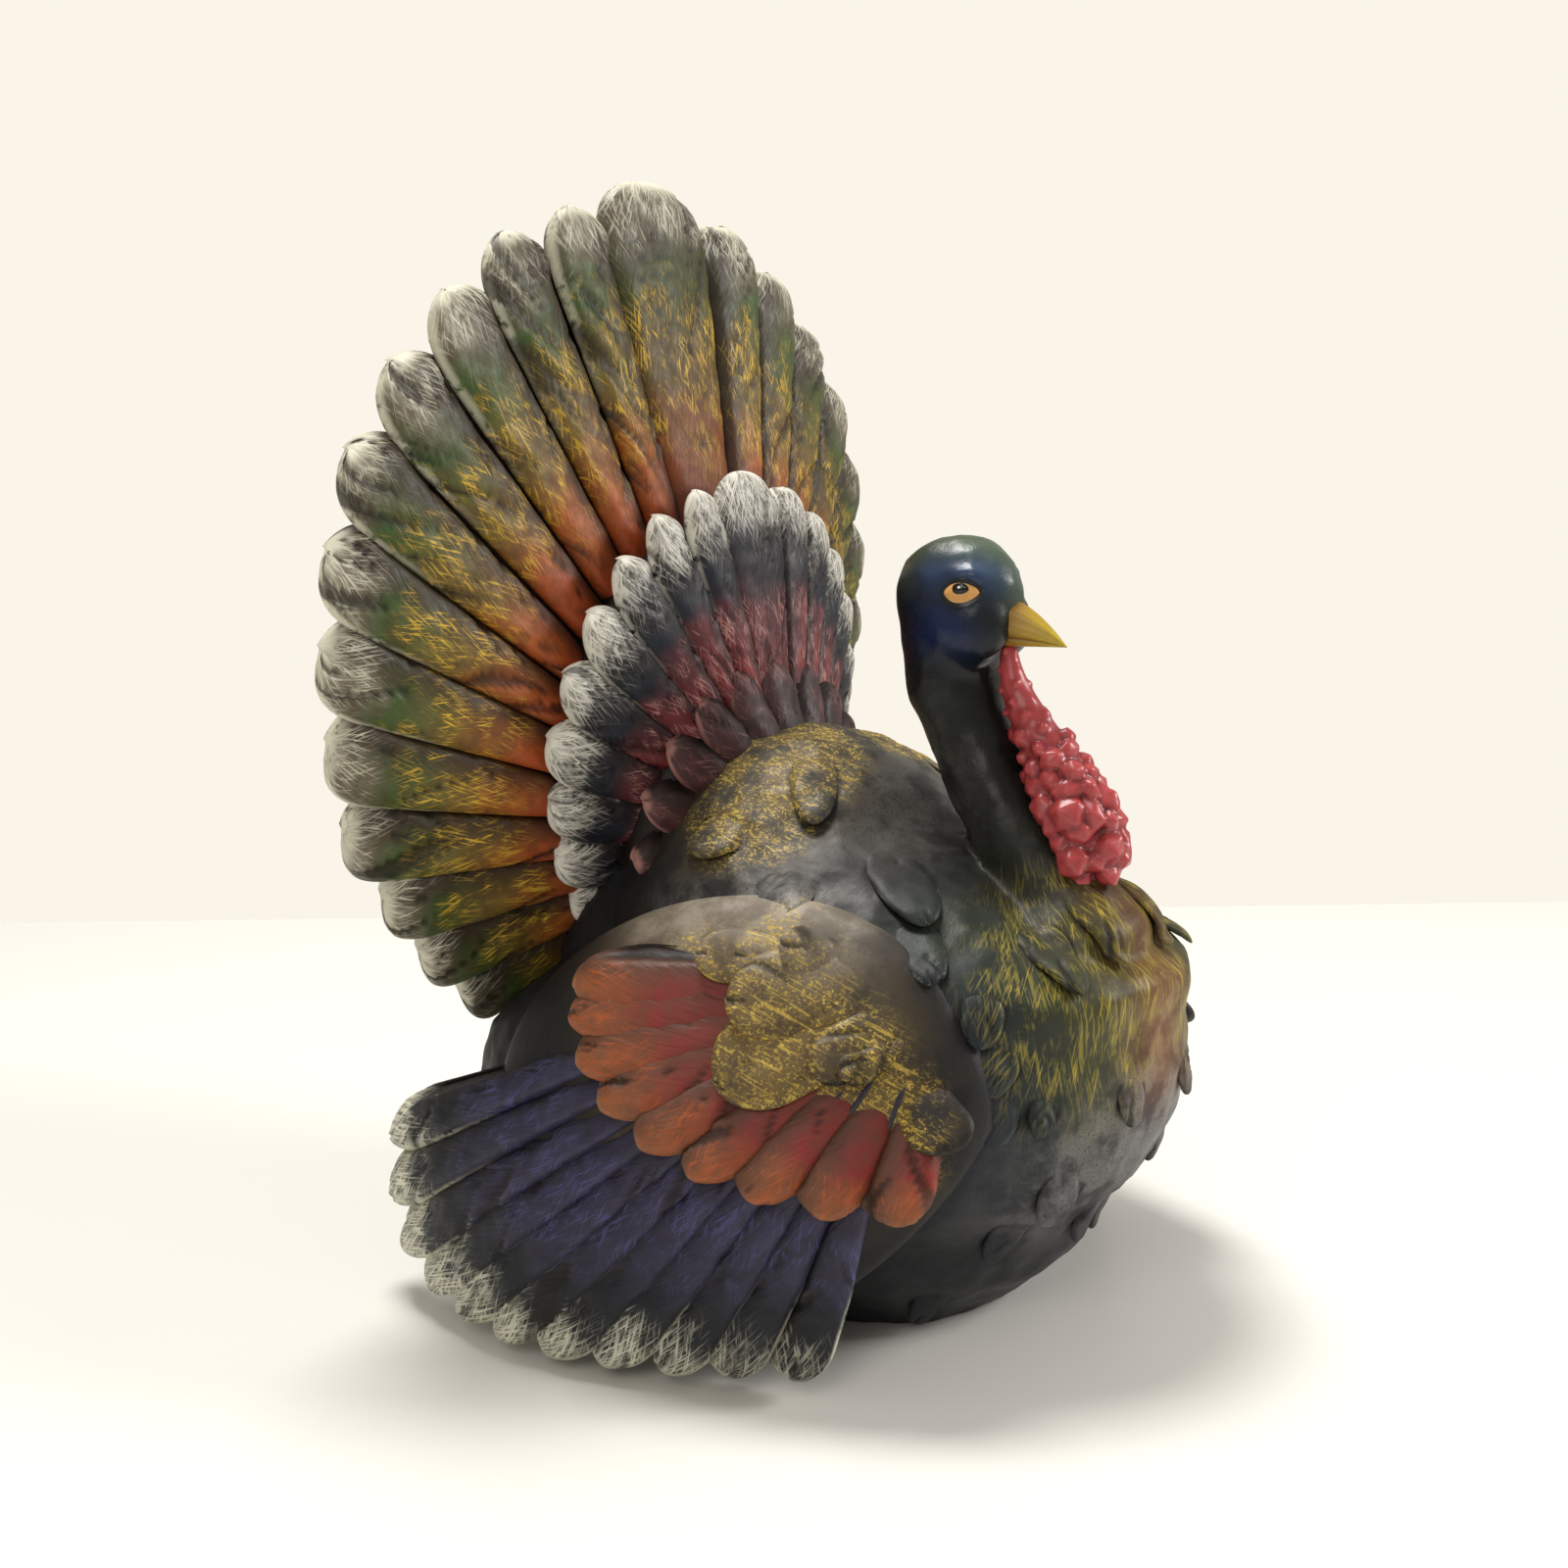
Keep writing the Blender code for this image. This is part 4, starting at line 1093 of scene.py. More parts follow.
def wing_plate(side):
    """Thick oval slab under the feathers, with a rounded front and top edge."""
    centre = (BODY_Y - BODY_LENGTH * 0.03, BODY_HEIGHT * 0.44)
    turns = 2 * np.pi * np.arange(120) / 120
    across = np.cos(turns)
    up = np.sin(turns)
    front_reach = BODY_LENGTH * 0.35 * (1 + 0.35 * np.minimum(up, 0))
    reach_y = np.where(across > 0, BODY_LENGTH * 0.42, front_reach)
    reach_z = np.where(up > 0, BODY_HEIGHT * 0.33, BODY_HEIGHT * 0.36)
    shares = (0.55, 0.92, 1.0, 0.97, 0.80, 0.50, 0.20)
    depths = (-1.6, -1.0, -0.45, 0.0, 0.34, 0.45, 0.47)
    at = np.linspace(0, len(shares) - 1, 43)
    stations = range(len(shares))
    rings = []
    for share, depth in zip(smooth_through(stations, shares, at), smooth_through(stations, depths, at)):
        y = centre[0] + share * across * reach_y
        z = centre[1] + share * up * reach_z
        x = side * (wing_half_width(y, z) + depth * WING_THICKNESS)
        rings.append(np.stack([x, y, z], -1))
    points, faces = ring_shell(rings)
    return points, faces if side > 0 else [face[::-1] for face in faces]


wing_blank = feather_blank("wing_blank", 0.30, 0.13, 80, 24, 1.0, 2.5, 0.2)
shield_blank = feather_blank("shield_blank", 0.66, 0.24, 56, 24, 0.9, 2.2, 0.3)
for side, label in SIDES:
    skin = link("wing_skin", wing_skin(side))
    piece = lay_feathers(
        label + "_wing_primaries", primaries(side), wing_blank, skin, PRIMARY_PAINT,
        {
            "Thickness": 0.0052, "Tip lift": 0.003, "Root sink": 0.0028, "Ditch depth": 0.0030,
            "Cut depth": 0.0008, "Cut spacing": 0.0070, "Hand relief": 0.0016, "Seed": 4.0,
        },
    )
    finish_piece(piece)
    piece = lay_feathers(
        label + "_wing_shield", shield(side), shield_blank, skin, SHIELD_PAINT,
        {
            "Thickness": 0.0052, "Tip lift": 0.008, "Root sink": 0.0080, "Ditch depth": 0.0022,
            "Cut depth": 0.0007, "Cut spacing": 0.0060, "Hand relief": 0.0014, "Seed": 5.0,
        },
    )
    finish_piece(piece)
    bpy.data.objects.remove(skin)

# %% [markdown]
# ## The body, neck and head
# The trunk is one smooth mass, so its shells are fused by a voxel remesh, as clay would be
# pressed together, and then smoothed. The real master was cut with broad gouges, and a
# Voronoi pattern repeats that: the squared distance to the nearest cell makes shallow bowls
# that meet in soft ridges.


# %% Fuse the trunk
def neck_shell():
    columns = list(zip(*NECK_STATIONS))
    steps = 40
    at = np.linspace(0, len(NECK_STATIONS) - 1, steps + 1)
    stations = range(len(NECK_STATIONS))
    ahead, height, radius = (smooth_through(stations, column, at) for column in columns)
    turn = 2 * np.pi * np.arange(48) / 48
    tilt = (math.radians(30) * (1 - np.arange(steps + 1) / steps))[:, None]
    reach = (radius * NECK_RADIUS)[:, None]
    forward = -reach * np.cos(turn)[None, :]
    x = reach * np.sin(turn)[None, :]
    y = (BODY_Y - ahead * BODY_LENGTH)[:, None] + forward * np.cos(tilt)
    z = (height * BODY_HEIGHT)[:, None] - forward * np.sin(tilt) * 0.6
    return ring_shell(np.stack([x, y, z], -1))


def trunk_shells():
    shares = np.sin(0.5 * np.pi * np.arange(60) / 60)
    turns = 2 * np.pi * np.arange(120) / 120
    rings = body_point(turns[None, :], shares[:, None])
    shells = [ring_shell(rings), neck_shell()]
    radii = (HEAD_WIDTH / 2, HEAD_LENGTH / 2, HEAD_HEIGHT / 2)
    shells.append(ball((0, HEAD_Y, HEAD_Z), radii, 24, 36))
    for side in (-1, 1):
        cheek = (side * HEAD_WIDTH * 0.22, HEAD_Y - HEAD_LENGTH * 0.10, HEAD_Z - HEAD_HEIGHT * 0.17)
        shells.append(ball(cheek, (radii[0] * 0.62, radii[1] * 0.78, radii[2] * 0.70)))
        brow = (side * HEAD_WIDTH * 0.30, HEAD_Y - HEAD_LENGTH * 0.12, HEAD_Z + HEAD_HEIGHT * 0.20)
        shells.append(ball(brow, (radii[0] * 0.32, radii[1] * 0.50, radii[2] * 0.20)))
        thigh = (side * BODY_WIDTH * 0.36, BODY_Y + BODY_LENGTH * 0.22, BODY_HEIGHT * 0.36)
        shells.append(ball(thigh, (BODY_WIDTH * 0.20, BODY_LENGTH * 0.36, BODY_HEIGHT * 0.27)))
    rump = (0, BODY_Y + BODY_LENGTH * 0.29, BODY_HEIGHT * 0.52)
    shells.append(ball(rump, (BODY_WIDTH * 0.40, BODY_LENGTH * 0.30, BODY_HEIGHT * 0.42)))
    return shells


def gouging_tree():
    """Shallow gouge bowls of two sizes, cut along the surface's own normal."""
    labels = ("Broad marks", "Broad depth", "Fine marks", "Fine depth")
    tree, given = new_tree("gouge_marks", [(label, "Float") for label in labels])
    place = add(tree, "GeometryNodeInputPosition")
    parts = []
    for label in ("Broad", "Fine"):
        scale = add(tree, *RATIO, 1.0, given[label + " marks"])
        cells = add(tree, "ShaderNodeTexVoronoi", {"feature": "F1"}, {"Vector": place, "Scale": scale})
        bowl = add(tree, "ShaderNodeMath", {"operation": "POWER"}, cells.outputs["Distance"], 2.0)
        parts.append(add(tree, *PRODUCT, add(tree, *DIFFERENCE, bowl, 0.25), given[label + " depth"]))
    offset = add(
        tree, "ShaderNodeVectorMath", {"operation": "SCALE"},
        {0: add(tree, "GeometryNodeInputNormal"), "Scale": add(tree, *SUM, *parts)},
    )
    return end_tree(
        tree, add(tree, "GeometryNodeSetPosition", {}, {"Geometry": given["Geometry"], "Offset": offset})
    )


GOUGING_TREE = gouging_tree()


def melt(carrier, voxel, smoothing):
    """Fuse all that an object holds into one skin, and soften it."""
    remesh = carrier.modifiers.new("fuse", "REMESH")
    remesh.mode = "VOXEL"
    remesh.voxel_size = voxel
    soften = carrier.modifiers.new("soften", "SMOOTH")
    soften.factor = 0.5
    soften.iterations = smoothing


def fuse(name, shells, voxel, smoothing, gouges):
    """Press shells into one skin, soften it and cut gouge marks into it."""
    carrier = link(name + "_shells", join_shells(name, shells))
    melt(carrier, voxel, smoothing)
    give_inputs(carrier.modifiers.new("gouge", "NODES"), GOUGING_TREE, gouges)
    piece = settle(carrier, name)
    spots = positions(piece.data)
    spots[:, 2] = np.maximum(spots[:, 2], 0)
    piece.data.vertices.foreach_set("co", spots.ravel())
    piece.data.shade_smooth()
    print(name, len(piece.data.polygons), "faces")
    return piece


trunk = fuse(
    "trunk", trunk_shells(), 0.00105, 7,
    {"Broad marks": 0.016, "Broad depth": 0.0014, "Fine marks": 0.006, "Fine depth": 0.0006},
)
finish_piece(trunk)

# %% [markdown]
# ## Where each colour goes
# Over the trunk and the shoulders the painter blended soft patches of colour. Each patch is a
# few spots on the form and a reach, and every vertex takes the average of all patches,
# weighted by how near they are. The grey under the breast and the pale top edge of the wing
# are partly painted highlight. Four more fields say where the fine hatching, the yellow
# scribbles, the pearly painted highlights and sheen, and the gloss lie. Both sides get the
# same colours. A picture wrapped round the form could do this too, but spots follow any
# change of size.


# %% Colour patches on the forms
def on_body(*places):
    return [body_point(math.radians(turn), share) for turn, share in places]


def on_head(*places):
    half = np.array((HEAD_WIDTH, HEAD_LENGTH, HEAD_HEIGHT)) / 2
    return [np.array((0, HEAD_Y, HEAD_Z)) + half * np.array(place) for place in places]


def on_neck(*places):
    columns = list(zip(*NECK_STATIONS))
    stations = range(len(NECK_STATIONS))
    spots = []
    for place in places:
        ahead, height, radius = (smooth_through(stations, column, place) for column in columns)
        centre = np.array((0, BODY_Y - ahead * BODY_LENGTH, height * BODY_HEIGHT))
        spots.append(centre + np.array((NECK_RADIUS * radius, 0, 0)))
    return spots


def on_wing(*places):
    """Spots on the shoulder by shares of the body's length and height from its centre."""
    spots = []
    for ahead, share in places:
        y = BODY_Y - ahead * BODY_LENGTH
        z = share * BODY_HEIGHT
        spots.append(np.array((wing_half_width(y, z), y, z)))
    return spots


TRUNK_PATCHES = (
    ("navy shoulder", "0e1830", 0.0090, on_body((43, 0.55), (45, 0.63), (43, 0.46))),
    ("green side", "222f20", 0.0110, on_body((36, 0.58), (34, 0.68), (31, 0.51))),
    ("ochre breast", "4a4826", 0.0110, on_body((14, 0.68), (26, 0.65), (20, 0.60))),
    ("orange middle", "824c20", 0.0075, on_body((5, 0.60), (1, 0.50), (2, 0.70))),
    # The satin grey under the breast is partly painted highlight, where the pearly sheen goes too
    ("satin under-breast and sheen", "34353a", 0.0110, on_body((20, 0.34), (6, 0.36), (30, 0.27))),
    (
        "charcoal belly", "1d1f23", 0.0160,
        on_body((44, 0.08), (0, 0.10), (80, 0.15), (130, 0.2), (180, 0.2)),
    ),
    ("umber rump", "4a4232", 0.0110, on_body((76, 0.93), (80, 0.98), (76, 0.87))),
    ("slate back", "1b2430", 0.0090, on_body((30, 0.95),)),
    ("pewter back", "35332f", 0.0120, on_body((38, 0.84), (42, 0.88), (15, 0.87), (10, 0.95))),
    (
        "dark flank", "16171a", 0.0150,
        on_body((68, 0.79), (88, 0.80), (95, 0.7), (110, 0.5), (70, 0.5), (130, 0.7)),
    ),
    ("plain rear", "241f1d", 0.0200, on_body((180, 0.5), (180, 0.75), (160, 0.4))),
    ("shoulder green", "1a2620", 0.0100, on_body((40, 0.70), (29, 0.75))),
    ("black-green neck", "0c0f0b", 0.0130, on_neck(3, 4, 5, 6, 7)),
    ("nape", "0a0c0e", 0.0085, on_head((0, 0.95, 0), (0, 0.9, -0.7), (0.9, 0.75, 0), (0.8, 0.7, 0.5))),
    ("olive crown", "56634e", 0.0070, on_head((0, 0.1, 1), (0.4, -0.3, 0.86), (0, -0.6, 0.8), (0, 0.6, 0.8))),
    ("blue brow", "203e80", 0.0034, on_head((0.85, 0.1, 0.48), (0.85, -0.3, 0.5), (0.6, -0.65, 0.45))),
    ("black eye ring", "0a0c0d", 0.0038, on_head((0.95, -0.4, 0.1), (0.8, -0.75, 0), (0.9, 0.2, 0.05))),
    ("blue cheek", "1c3670", 0.0044, on_head((1, -0.2, -0.44), (1, 0.05, -0.34))),
    ("throat", "14181a", 0.0065, on_head((0.7, -0.4, -1), (0.8, 0.2, -1))),
)
WING_PATCHES = (
    ("umber patch", "625038", 0.0130, on_wing((-0.04, 0.62), (0.04, 0.52), (0.12, 0.56), (0.16, 0.46))),
    # The pale top edge of the wing is pewter paint and partly painted highlight
    ("pewter top edge and highlight", "8f8474", 0.0080, on_wing((-0.10, 0.73), (0.02, 0.75), (0.12, 0.74))),
    ("olive shoulder", "3a3424", 0.0095, on_wing((0.18, 0.63), (0.23, 0.54))),
    ("dark front edge", "0f131c", 0.0110, on_wing((0.26, 0.73), (0.34, 0.62), (0.37, 0.50), (0.36, 0.34))),
    ("charcoal lower edge", "141518", 0.0160, on_wing((0.24, 0.13), (0.30, 0.25), (-0.3, 0.5))),
)
BRUSH_FIELDS = {
    "hatching": (
        (1.0, 0.0105, on_body((14, 0.70), (26, 0.66), (18, 0.60), (28, 0.58), (8, 0.62))),
    ),
    "scribble": (
        (1.0, 0.0085, on_body((76, 0.93), (80, 0.99), (76, 0.87), (58, 0.97))),
        (1.0, 0.0095, on_wing((-0.03, 0.62), (0.03, 0.55), (0.10, 0.52), (0.15, 0.54), (0.20, 0.47))),
        (1.0, 0.0070, on_wing((0.27, 0.47), (0.25, 0.40), (0.08, 0.70))),
    ),
    # Pearly grey under the breast, on the back and on the wing's top edge, laid as painted highlight and
    # sheen
    "pearl_sheen": (
        (0.55, 0.0110, on_body((12, 0.34), (2, 0.38), (20, 0.29))),
        (0.2, 0.0120, on_body((12, 0.88), (30, 0.90))),
        (0.8, 0.0080, on_wing((-0.10, 0.71), (0.02, 0.73), (0.10, 0.72))),
    ),
    "gloss": (
        (1.0, 0.0130, on_head((0, 0, 0), (0, -0.5, 0.5), (0.5, 0.2, -0.6))),
        (0.7, 0.0120, on_neck(5, 6, 7)),
    ),
}


def nearness(points, spots, reach):
    """Summed bell-shaped weight of spots on one side, for both sides of the bird."""
    folded = points * np.array((0, 1, 1)) + np.abs(points) * np.array((1, 0, 0))
    total = np.zeros(len(points))
    for spot in spots:
        total += np.exp(-((folded - spot) ** 2).sum(1) / (2 * reach**2))
    return total


def paint_patches(piece, patches):
    """Store the blended base coat and the four brush fields on a piece's vertices."""
    points = positions(piece.data).astype(float)
    summed = np.zeros((len(points), 4))
    weight = np.full(len(points), 1e-9)
    for _, code, reach, spots in patches:
        here = nearness(points, spots, reach)
        summed += here[:, None] * np.array(colour(code))
        weight += here
    coat = summed / weight[:, None]
    coat[:, 3] = 1
    store(piece.data, "coat", coat, "FLOAT_COLOR")
    for key, fields in BRUSH_FIELDS.items():
        amount = np.zeros(len(points))
        for strength, reach, spots in fields:
            amount = np.maximum(amount, strength * np.minimum(nearness(points, spots, reach), 1))
        store(piece.data, key, amount)


STROKES_MEET = 0.045
# How far painted shade reaches from the free ends of neighbouring feathers
UNDER_END_SHADE_REACH = 0.0016
FREE_END = 0.55


def store_grain(piece, start):
    """Give a piece brush coordinates: across the strokes and along them, away from a start."""
    away = positions(piece.data) - np.array(start, np.float32)
    distance = np.linalg.norm(away, axis=1)
    across = np.arctan2(np.abs(away[:, 0]), -away[:, 1]) * STROKES_MEET
    store(piece.data, "grain", np.stack([across, distance, 0 * across], -1), "FLOAT_VECTOR")


def store_shade_nooks(piece, neighbour):
    """Mark the skin close to the free ends of neighbouring feathers, where painted shade is laid under those
    ends.
    """
    along = np.empty(len(neighbour.data.vertices), np.float32)
    neighbour.data.attributes["along"].data.foreach_get("value", along)
    rims = positions(neighbour.data)[along > FREE_END]
    tree = KDTree(len(rims))
    for k, rim in enumerate(rims):
        tree.insert(rim, k)
    tree.balance()
    near = [1 - min(tree.find(vertex.co)[2] / UNDER_END_SHADE_REACH, 1) for vertex in piece.data.vertices]
    store(piece.data, "ditch", near)


# %% [markdown]
# ## The plumage paint
# Breast, back and shoulders of the real bird are one blended coat with loose strokes over it,
# and the head has a varnish. One material covers them all: the base comes from the patches,
# and the fields switch hatching, scribbles and gloss on where the painter used them, and
# pearly grey where it is laid as painted highlight and sheen. Hollows and cuts go near black,
# partly as a wash and partly as painted shade, and the skin under free feather ends gets
# painted shade.

# %% The plumage paint
def plumage_resin(name):
    """Hand-painted cast polyresin in blended patches: satin on the body, glossy on the head."""
    material, tree, shader = new_paint(name)
    read = {
        key: add(tree, "ShaderNodeAttribute", {"attribute_name": key}).outputs["Fac"]
        for key in ("hatching", "scribble", "pearl_sheen", "gloss", "ditch", "cut")
    }
    base = add(tree, "ShaderNodeAttribute", {"attribute_name": "coat"}).outputs["Color"]
    flow = add(tree, "ShaderNodeAttribute", {"attribute_name": "grain"}).outputs["Vector"]
    place = add(tree, "ShaderNodeTexCoord").outputs["Object"]
    shape = add(tree, "ShaderNodeNewGeometry").outputs["Pointiness"]
    cloud = clouds(tree, place, 1 / 110, 5.0, 0.6)
    grain = clouds(tree, place, 1 / 1800, 3.0, 0.6)
    matt = add(tree, *DIFFERENCE, 1.0, read["gloss"])
    shade = add(tree, *BOTH, add(tree, *SOFT_STEP, cloud, 0.40, 0.66), 0.35)
    paint = add(tree, *COAT_OVER, shade, base, colour("17181a"))

    # Pearly grey as painted highlight and sheen, rubbed on softly so that only the height of the grain breaks
    # it
    rubbed = add(tree, *BOTH, read["pearl_sheen"], add(tree, *SOFT_STEP, cloud, 0.62, 0.40))
    rubbed = add(tree, *BOTH, rubbed, add(tree, *SOFT_STEP, grain, 0.25, 0.55))
    paint = add(tree, *COAT_OVER, add(tree, *BOTH, rubbed, 0.55), paint, colour("a3a19c"))

    # Breast: fine ochre hatching that runs down from the neck
    for turn, code, low in ((-0.20, "857a30", 0.50), (0.34, "ab963a", 0.55)):
        strokes = bristles(tree, flow, (0, 0, turn), 0.00034, 0.0040, 0.8)
        drawn = add(tree, *BOTH, add(tree, *SOFT_STEP, strokes, low, low + 0.09), read["hatching"])
        drawn = add(tree, *BOTH, drawn, add(tree, *SOFT_STEP, cloud, 0.62, 0.42))
        paint = add(tree, *COAT_OVER, add(tree, *BOTH, drawn, 0.8), paint, colour(code))

    # Rump and shoulder: an ochre haze, then strokes that cross as the hand turns
    haze = add(tree, *BOTH, read["scribble"], add(tree, *SOFT_STEP, cloud, 0.66, 0.36))
    paint = add(tree, *COAT_OVER, add(tree, *BOTH, haze, 0.55), paint, colour("7e6836"))
    broken = add(tree, *SOFT_STEP, cloud, 0.66, 0.46)
    inside = add(tree, *SOFT_STEP, read["scribble"], 0.10, 0.60)
    for turn, code, low in (
        ((0.30, 0, 0.35), "b09440", 0.57),
        ((-0.50, 0, -0.30), "c0a446", 0.58),
        ((0.95, 0, 0.80), "d0b658", 0.60),
    ):
        strokes = bristles(tree, place, turn, 0.00038, 0.0080, 0.7)
        line = add(tree, *BOTH, add(tree, *SOFT_STEP, strokes, low, low + 0.05), broken)
        line = add(tree, *BOTH, line, inside)
        paint = add(tree, *COAT_OVER, add(tree, *BOTH, line, 0.85), paint, colour(code))

    # Ridges rubbed pale, then near black in hollows and cuts, partly wash and partly painted shade, and
    # painted shade under free feather ends
    ridge = add(tree, *SOFT_STEP, shape, 0.53, 0.60)
    raised = add(tree, *BOTH, ridge, add(tree, *SOFT_STEP, grain, 0.40, 0.56))
    rubbed = add(tree, *BOTH, add(tree, *BOTH, raised, matt), 0.4)
    paint = add(tree, *COAT_OVER, rubbed, paint, colour("7d7a72"))
    # Painted shade on the skin under free feather ends
    under = add(tree, *SOFT_STEP, read["ditch"], 0.25, 0.85)
    wash_and_shade = add(tree, *LARGER, add(tree, *SOFT_STEP, shape, 0.470, 0.42), under)
    wash_and_shade = add(tree, *LARGER, wash_and_shade, add(tree, *BOTH, read["cut"], 0.8))
    paint = add(tree, *COAT_OVER, add(tree, *BOTH, wash_and_shade, 0.9), paint, colour("0b0b0d"))
    tree.links.new(paint.outputs[0], shader.inputs["Base Color"])
    satin = add(tree, "ShaderNodeMapRange", {}, cloud, 0.3, 0.7, 0.42, 0.58)
    polished = add(tree, *SCALED_SUM, read["gloss"], -0.22, satin)
    tree.links.new(polished.outputs[0], shader.inputs["Roughness"])
    shader.inputs["IOR"].default_value = 1.5
    shader.inputs["Specular IOR Level"].default_value = 0.27
    relief = add(tree, *SCALED_SUM, grain, 0.12, cloud)
    bump = add(tree, "ShaderNodeBump", {}, {"Strength": 0.4, "Distance": 0.0008, "Height": relief})
    tree.links.new(bump.outputs[0], shader.inputs["Normal"])
    return material


PLUMAGE_PAINT = plumage_resin("plumage_acrylic_on_resin")
print("fields on the plumage:", list(BRUSH_FIELDS))

# %% [markdown]
# ## Scale feathers
# The trunk isn't feathered all over. A few U-shaped scales are cut on the breast, shoulders
# and back, each with its free end raised by about 2 mm, and they point down the breast and
# backwards along the flanks. The wing's shoulder has larger leaf shapes of the same kind.

# %% Lay the scales
SCALE_SPOTS = (
    (10, 0.70, 0.11), (24, 0.68, 0.12), (12, 0.45, 0.11), (33, 0.45, 0.08), (24, 0.30, 0.13),
    (30, 0.21, 0.11), (4, 0.20, 0.10), (42, 0.07, 0.10), (41, 0.79, 0.17), (49, 0.70, 0.13),
    (43, 0.615, 0.11), (42, 0.530, 0.11), (41, 0.450, 0.10), (50, 0.91, 0.13), (88, 0.84, 0.16),
    (70, 0.77, 0.15),
)
SHOULDER_LEAVES = (
    (-0.030, 0.681, 0.170, 0.036, -5), (0.088, 0.712, 0.110, 0.026, 16),
    (0.034, 0.625, 0.240, 0.062, -11), (0.038, 0.510, 0.280, 0.075, -31),
    (0.171, 0.530, 0.160, 0.042, -43), (0.209, 0.526, 0.120, 0.032, -51),
    (0.341, 0.428, 0.110, 0.038, -117),
)


def body_scales():
    feathers = []
    for turn, share, size in SCALE_SPOTS:
        for side in (-1, 1):
            swing = side * math.radians(60) * min(turn / 90, 1)
            spots = []
            for part in (-0.9, 0.4):
                reach = part * BODY_HEIGHT * size
                at = side * math.radians(turn) + reach * math.sin(swing) / (BODY_WIDTH * 0.5)
                spots.append(Vector(body_point(at, share - reach * math.cos(swing) / BODY_HEIGHT)))
            step = 0.01
            middle = side * math.radians(turn)
            sideways = Vector(body_point(middle + step, share) - body_point(middle - step, share))
            upwards = Vector(body_point(middle, min(share + step, 1)) - body_point(middle, share - step))
            feathers.append(
                {
                    "root": spots[0], "heading": spots[1] - spots[0], "facing": sideways.cross(upwards),
                    "half_width": BODY_HEIGHT * size * 0.33, "length": (spots[1] - spots[0]).length,
                }
            )
    return feathers


def shoulder_leaves(side):
    feathers = []
    for ahead, share, length, half_width, dip in SHOULDER_LEAVES:
        tip = (BODY_Y - ahead * BODY_LENGTH, share * BODY_HEIGHT)
        reach = length * BODY_LENGTH
        root = (
            tip[0] - reach * math.cos(math.radians(dip)),
            tip[1] - reach * math.sin(math.radians(dip)),
        )
        feathers.append(wing_feather(side, root, tip, half_width * BODY_LENGTH, 0.10))
        feathers[-1]["raised"] = 0
    return feathers


scale_blank = feather_blank("scale_blank", 0.72, 0.40, 40, 24, 0.8, 2.2, 0.25)
leaf_blank = feather_blank("leaf_blank", 0.80, 0.30, 48, 24, 0.8, 2.2, 0.25)
scales = lay_feathers(
    "body_scales", body_scales(), scale_blank, trunk, PLUMAGE_PAINT,
    {
        "Thickness": 0.0014, "Tip lift": 0.0018, "Root sink": 0.0042, "Ditch depth": 0.0,
        "Cut depth": 0.0004, "Cut spacing": 0.0045, "Hand relief": 0.0008, "Seed": 6.0,
        "Cast distance": 0.02,
    },
)
paint_patches(scales, TRUNK_PATCHES)
finish_piece(scales)
paint_patches(trunk, TRUNK_PATCHES)
store_grain(trunk, (0, BODY_Y - BODY_LENGTH * 0.20, BODY_HEIGHT * 0.95))
store_shade_nooks(trunk, scales)
trunk.data.materials.clear()
trunk.data.materials.append(PLUMAGE_PAINT)
print("trunk attributes:", [item.name for item in trunk.data.attributes if not item.name.startswith(".")])
for side, label in SIDES:
    slab = link(label + "_wing_slab", join_shells("slab", [wing_plate(side)]))
    slab.data.shade_smooth()
    leaves = lay_feathers(
        label + "_shoulder_leaves", shoulder_leaves(side), leaf_blank, slab, PLUMAGE_PAINT,
        {
            "Thickness": 0.0024, "Tip lift": 0.0040, "Root sink": 0.0052, "Ditch depth": 0.0,
            "Cut depth": 0.0006, "Cut spacing": 0.0060, "Hand relief": 0.0012, "Seed": 7.0,
        },
    )
    paint_patches(leaves, WING_PATCHES)
    finish_piece(leaves)
    paint_patches(slab, WING_PATCHES)
    store_shade_nooks(slab, leaves)
    finish_piece(slab, PLUMAGE_PAINT)

# %% [markdown]
# ## Wattle, beak and eyes
# The wattle is a hanging core covered with lumps that grow downwards. Geometry Nodes scatter
# a low-sided lump over it with a fixed seed, and a fine remesh melts them together, which
# leaves soft facets like the carved ones. The beak is a bent cone with a mouth line, and each
# eye is three thin domes laid on the side of the head.


# %% The wattle
def wattle_core():
    top_y = HEAD_Y - HEAD_LENGTH * 0.41
    top_z = HEAD_Z - HEAD_HEIGHT * 0.38
    foot_y = top_y - WATTLE_RADIUS * 1.75
    foot_z = BODY_HEIGHT * 0.832
    shells = []
    for share in np.linspace(0, 1, 17):
        y = top_y + (foot_y - top_y) * math.sin(0.5 * math.pi * share) ** 1.9
        z = top_z + (foot_z - top_z) * share
        size = WATTLE_RADIUS * (0.26 + 0.66 * share**0.95) * 0.82
        shells.append(ball((0, y, z), (size, size, size * 1.05), 10, 16))
    return shells


def lump_blank():
    """Low ball with few sides, about 1 across."""
    mesh = bpy.data.meshes.new("lump_blank")
    shape = bmesh.new()
    bmesh.ops.create_icosphere(shape, subdivisions=1, radius=0.5)
    shape.to_mesh(mesh)
    shape.free()
    return link("lump_blank", mesh)


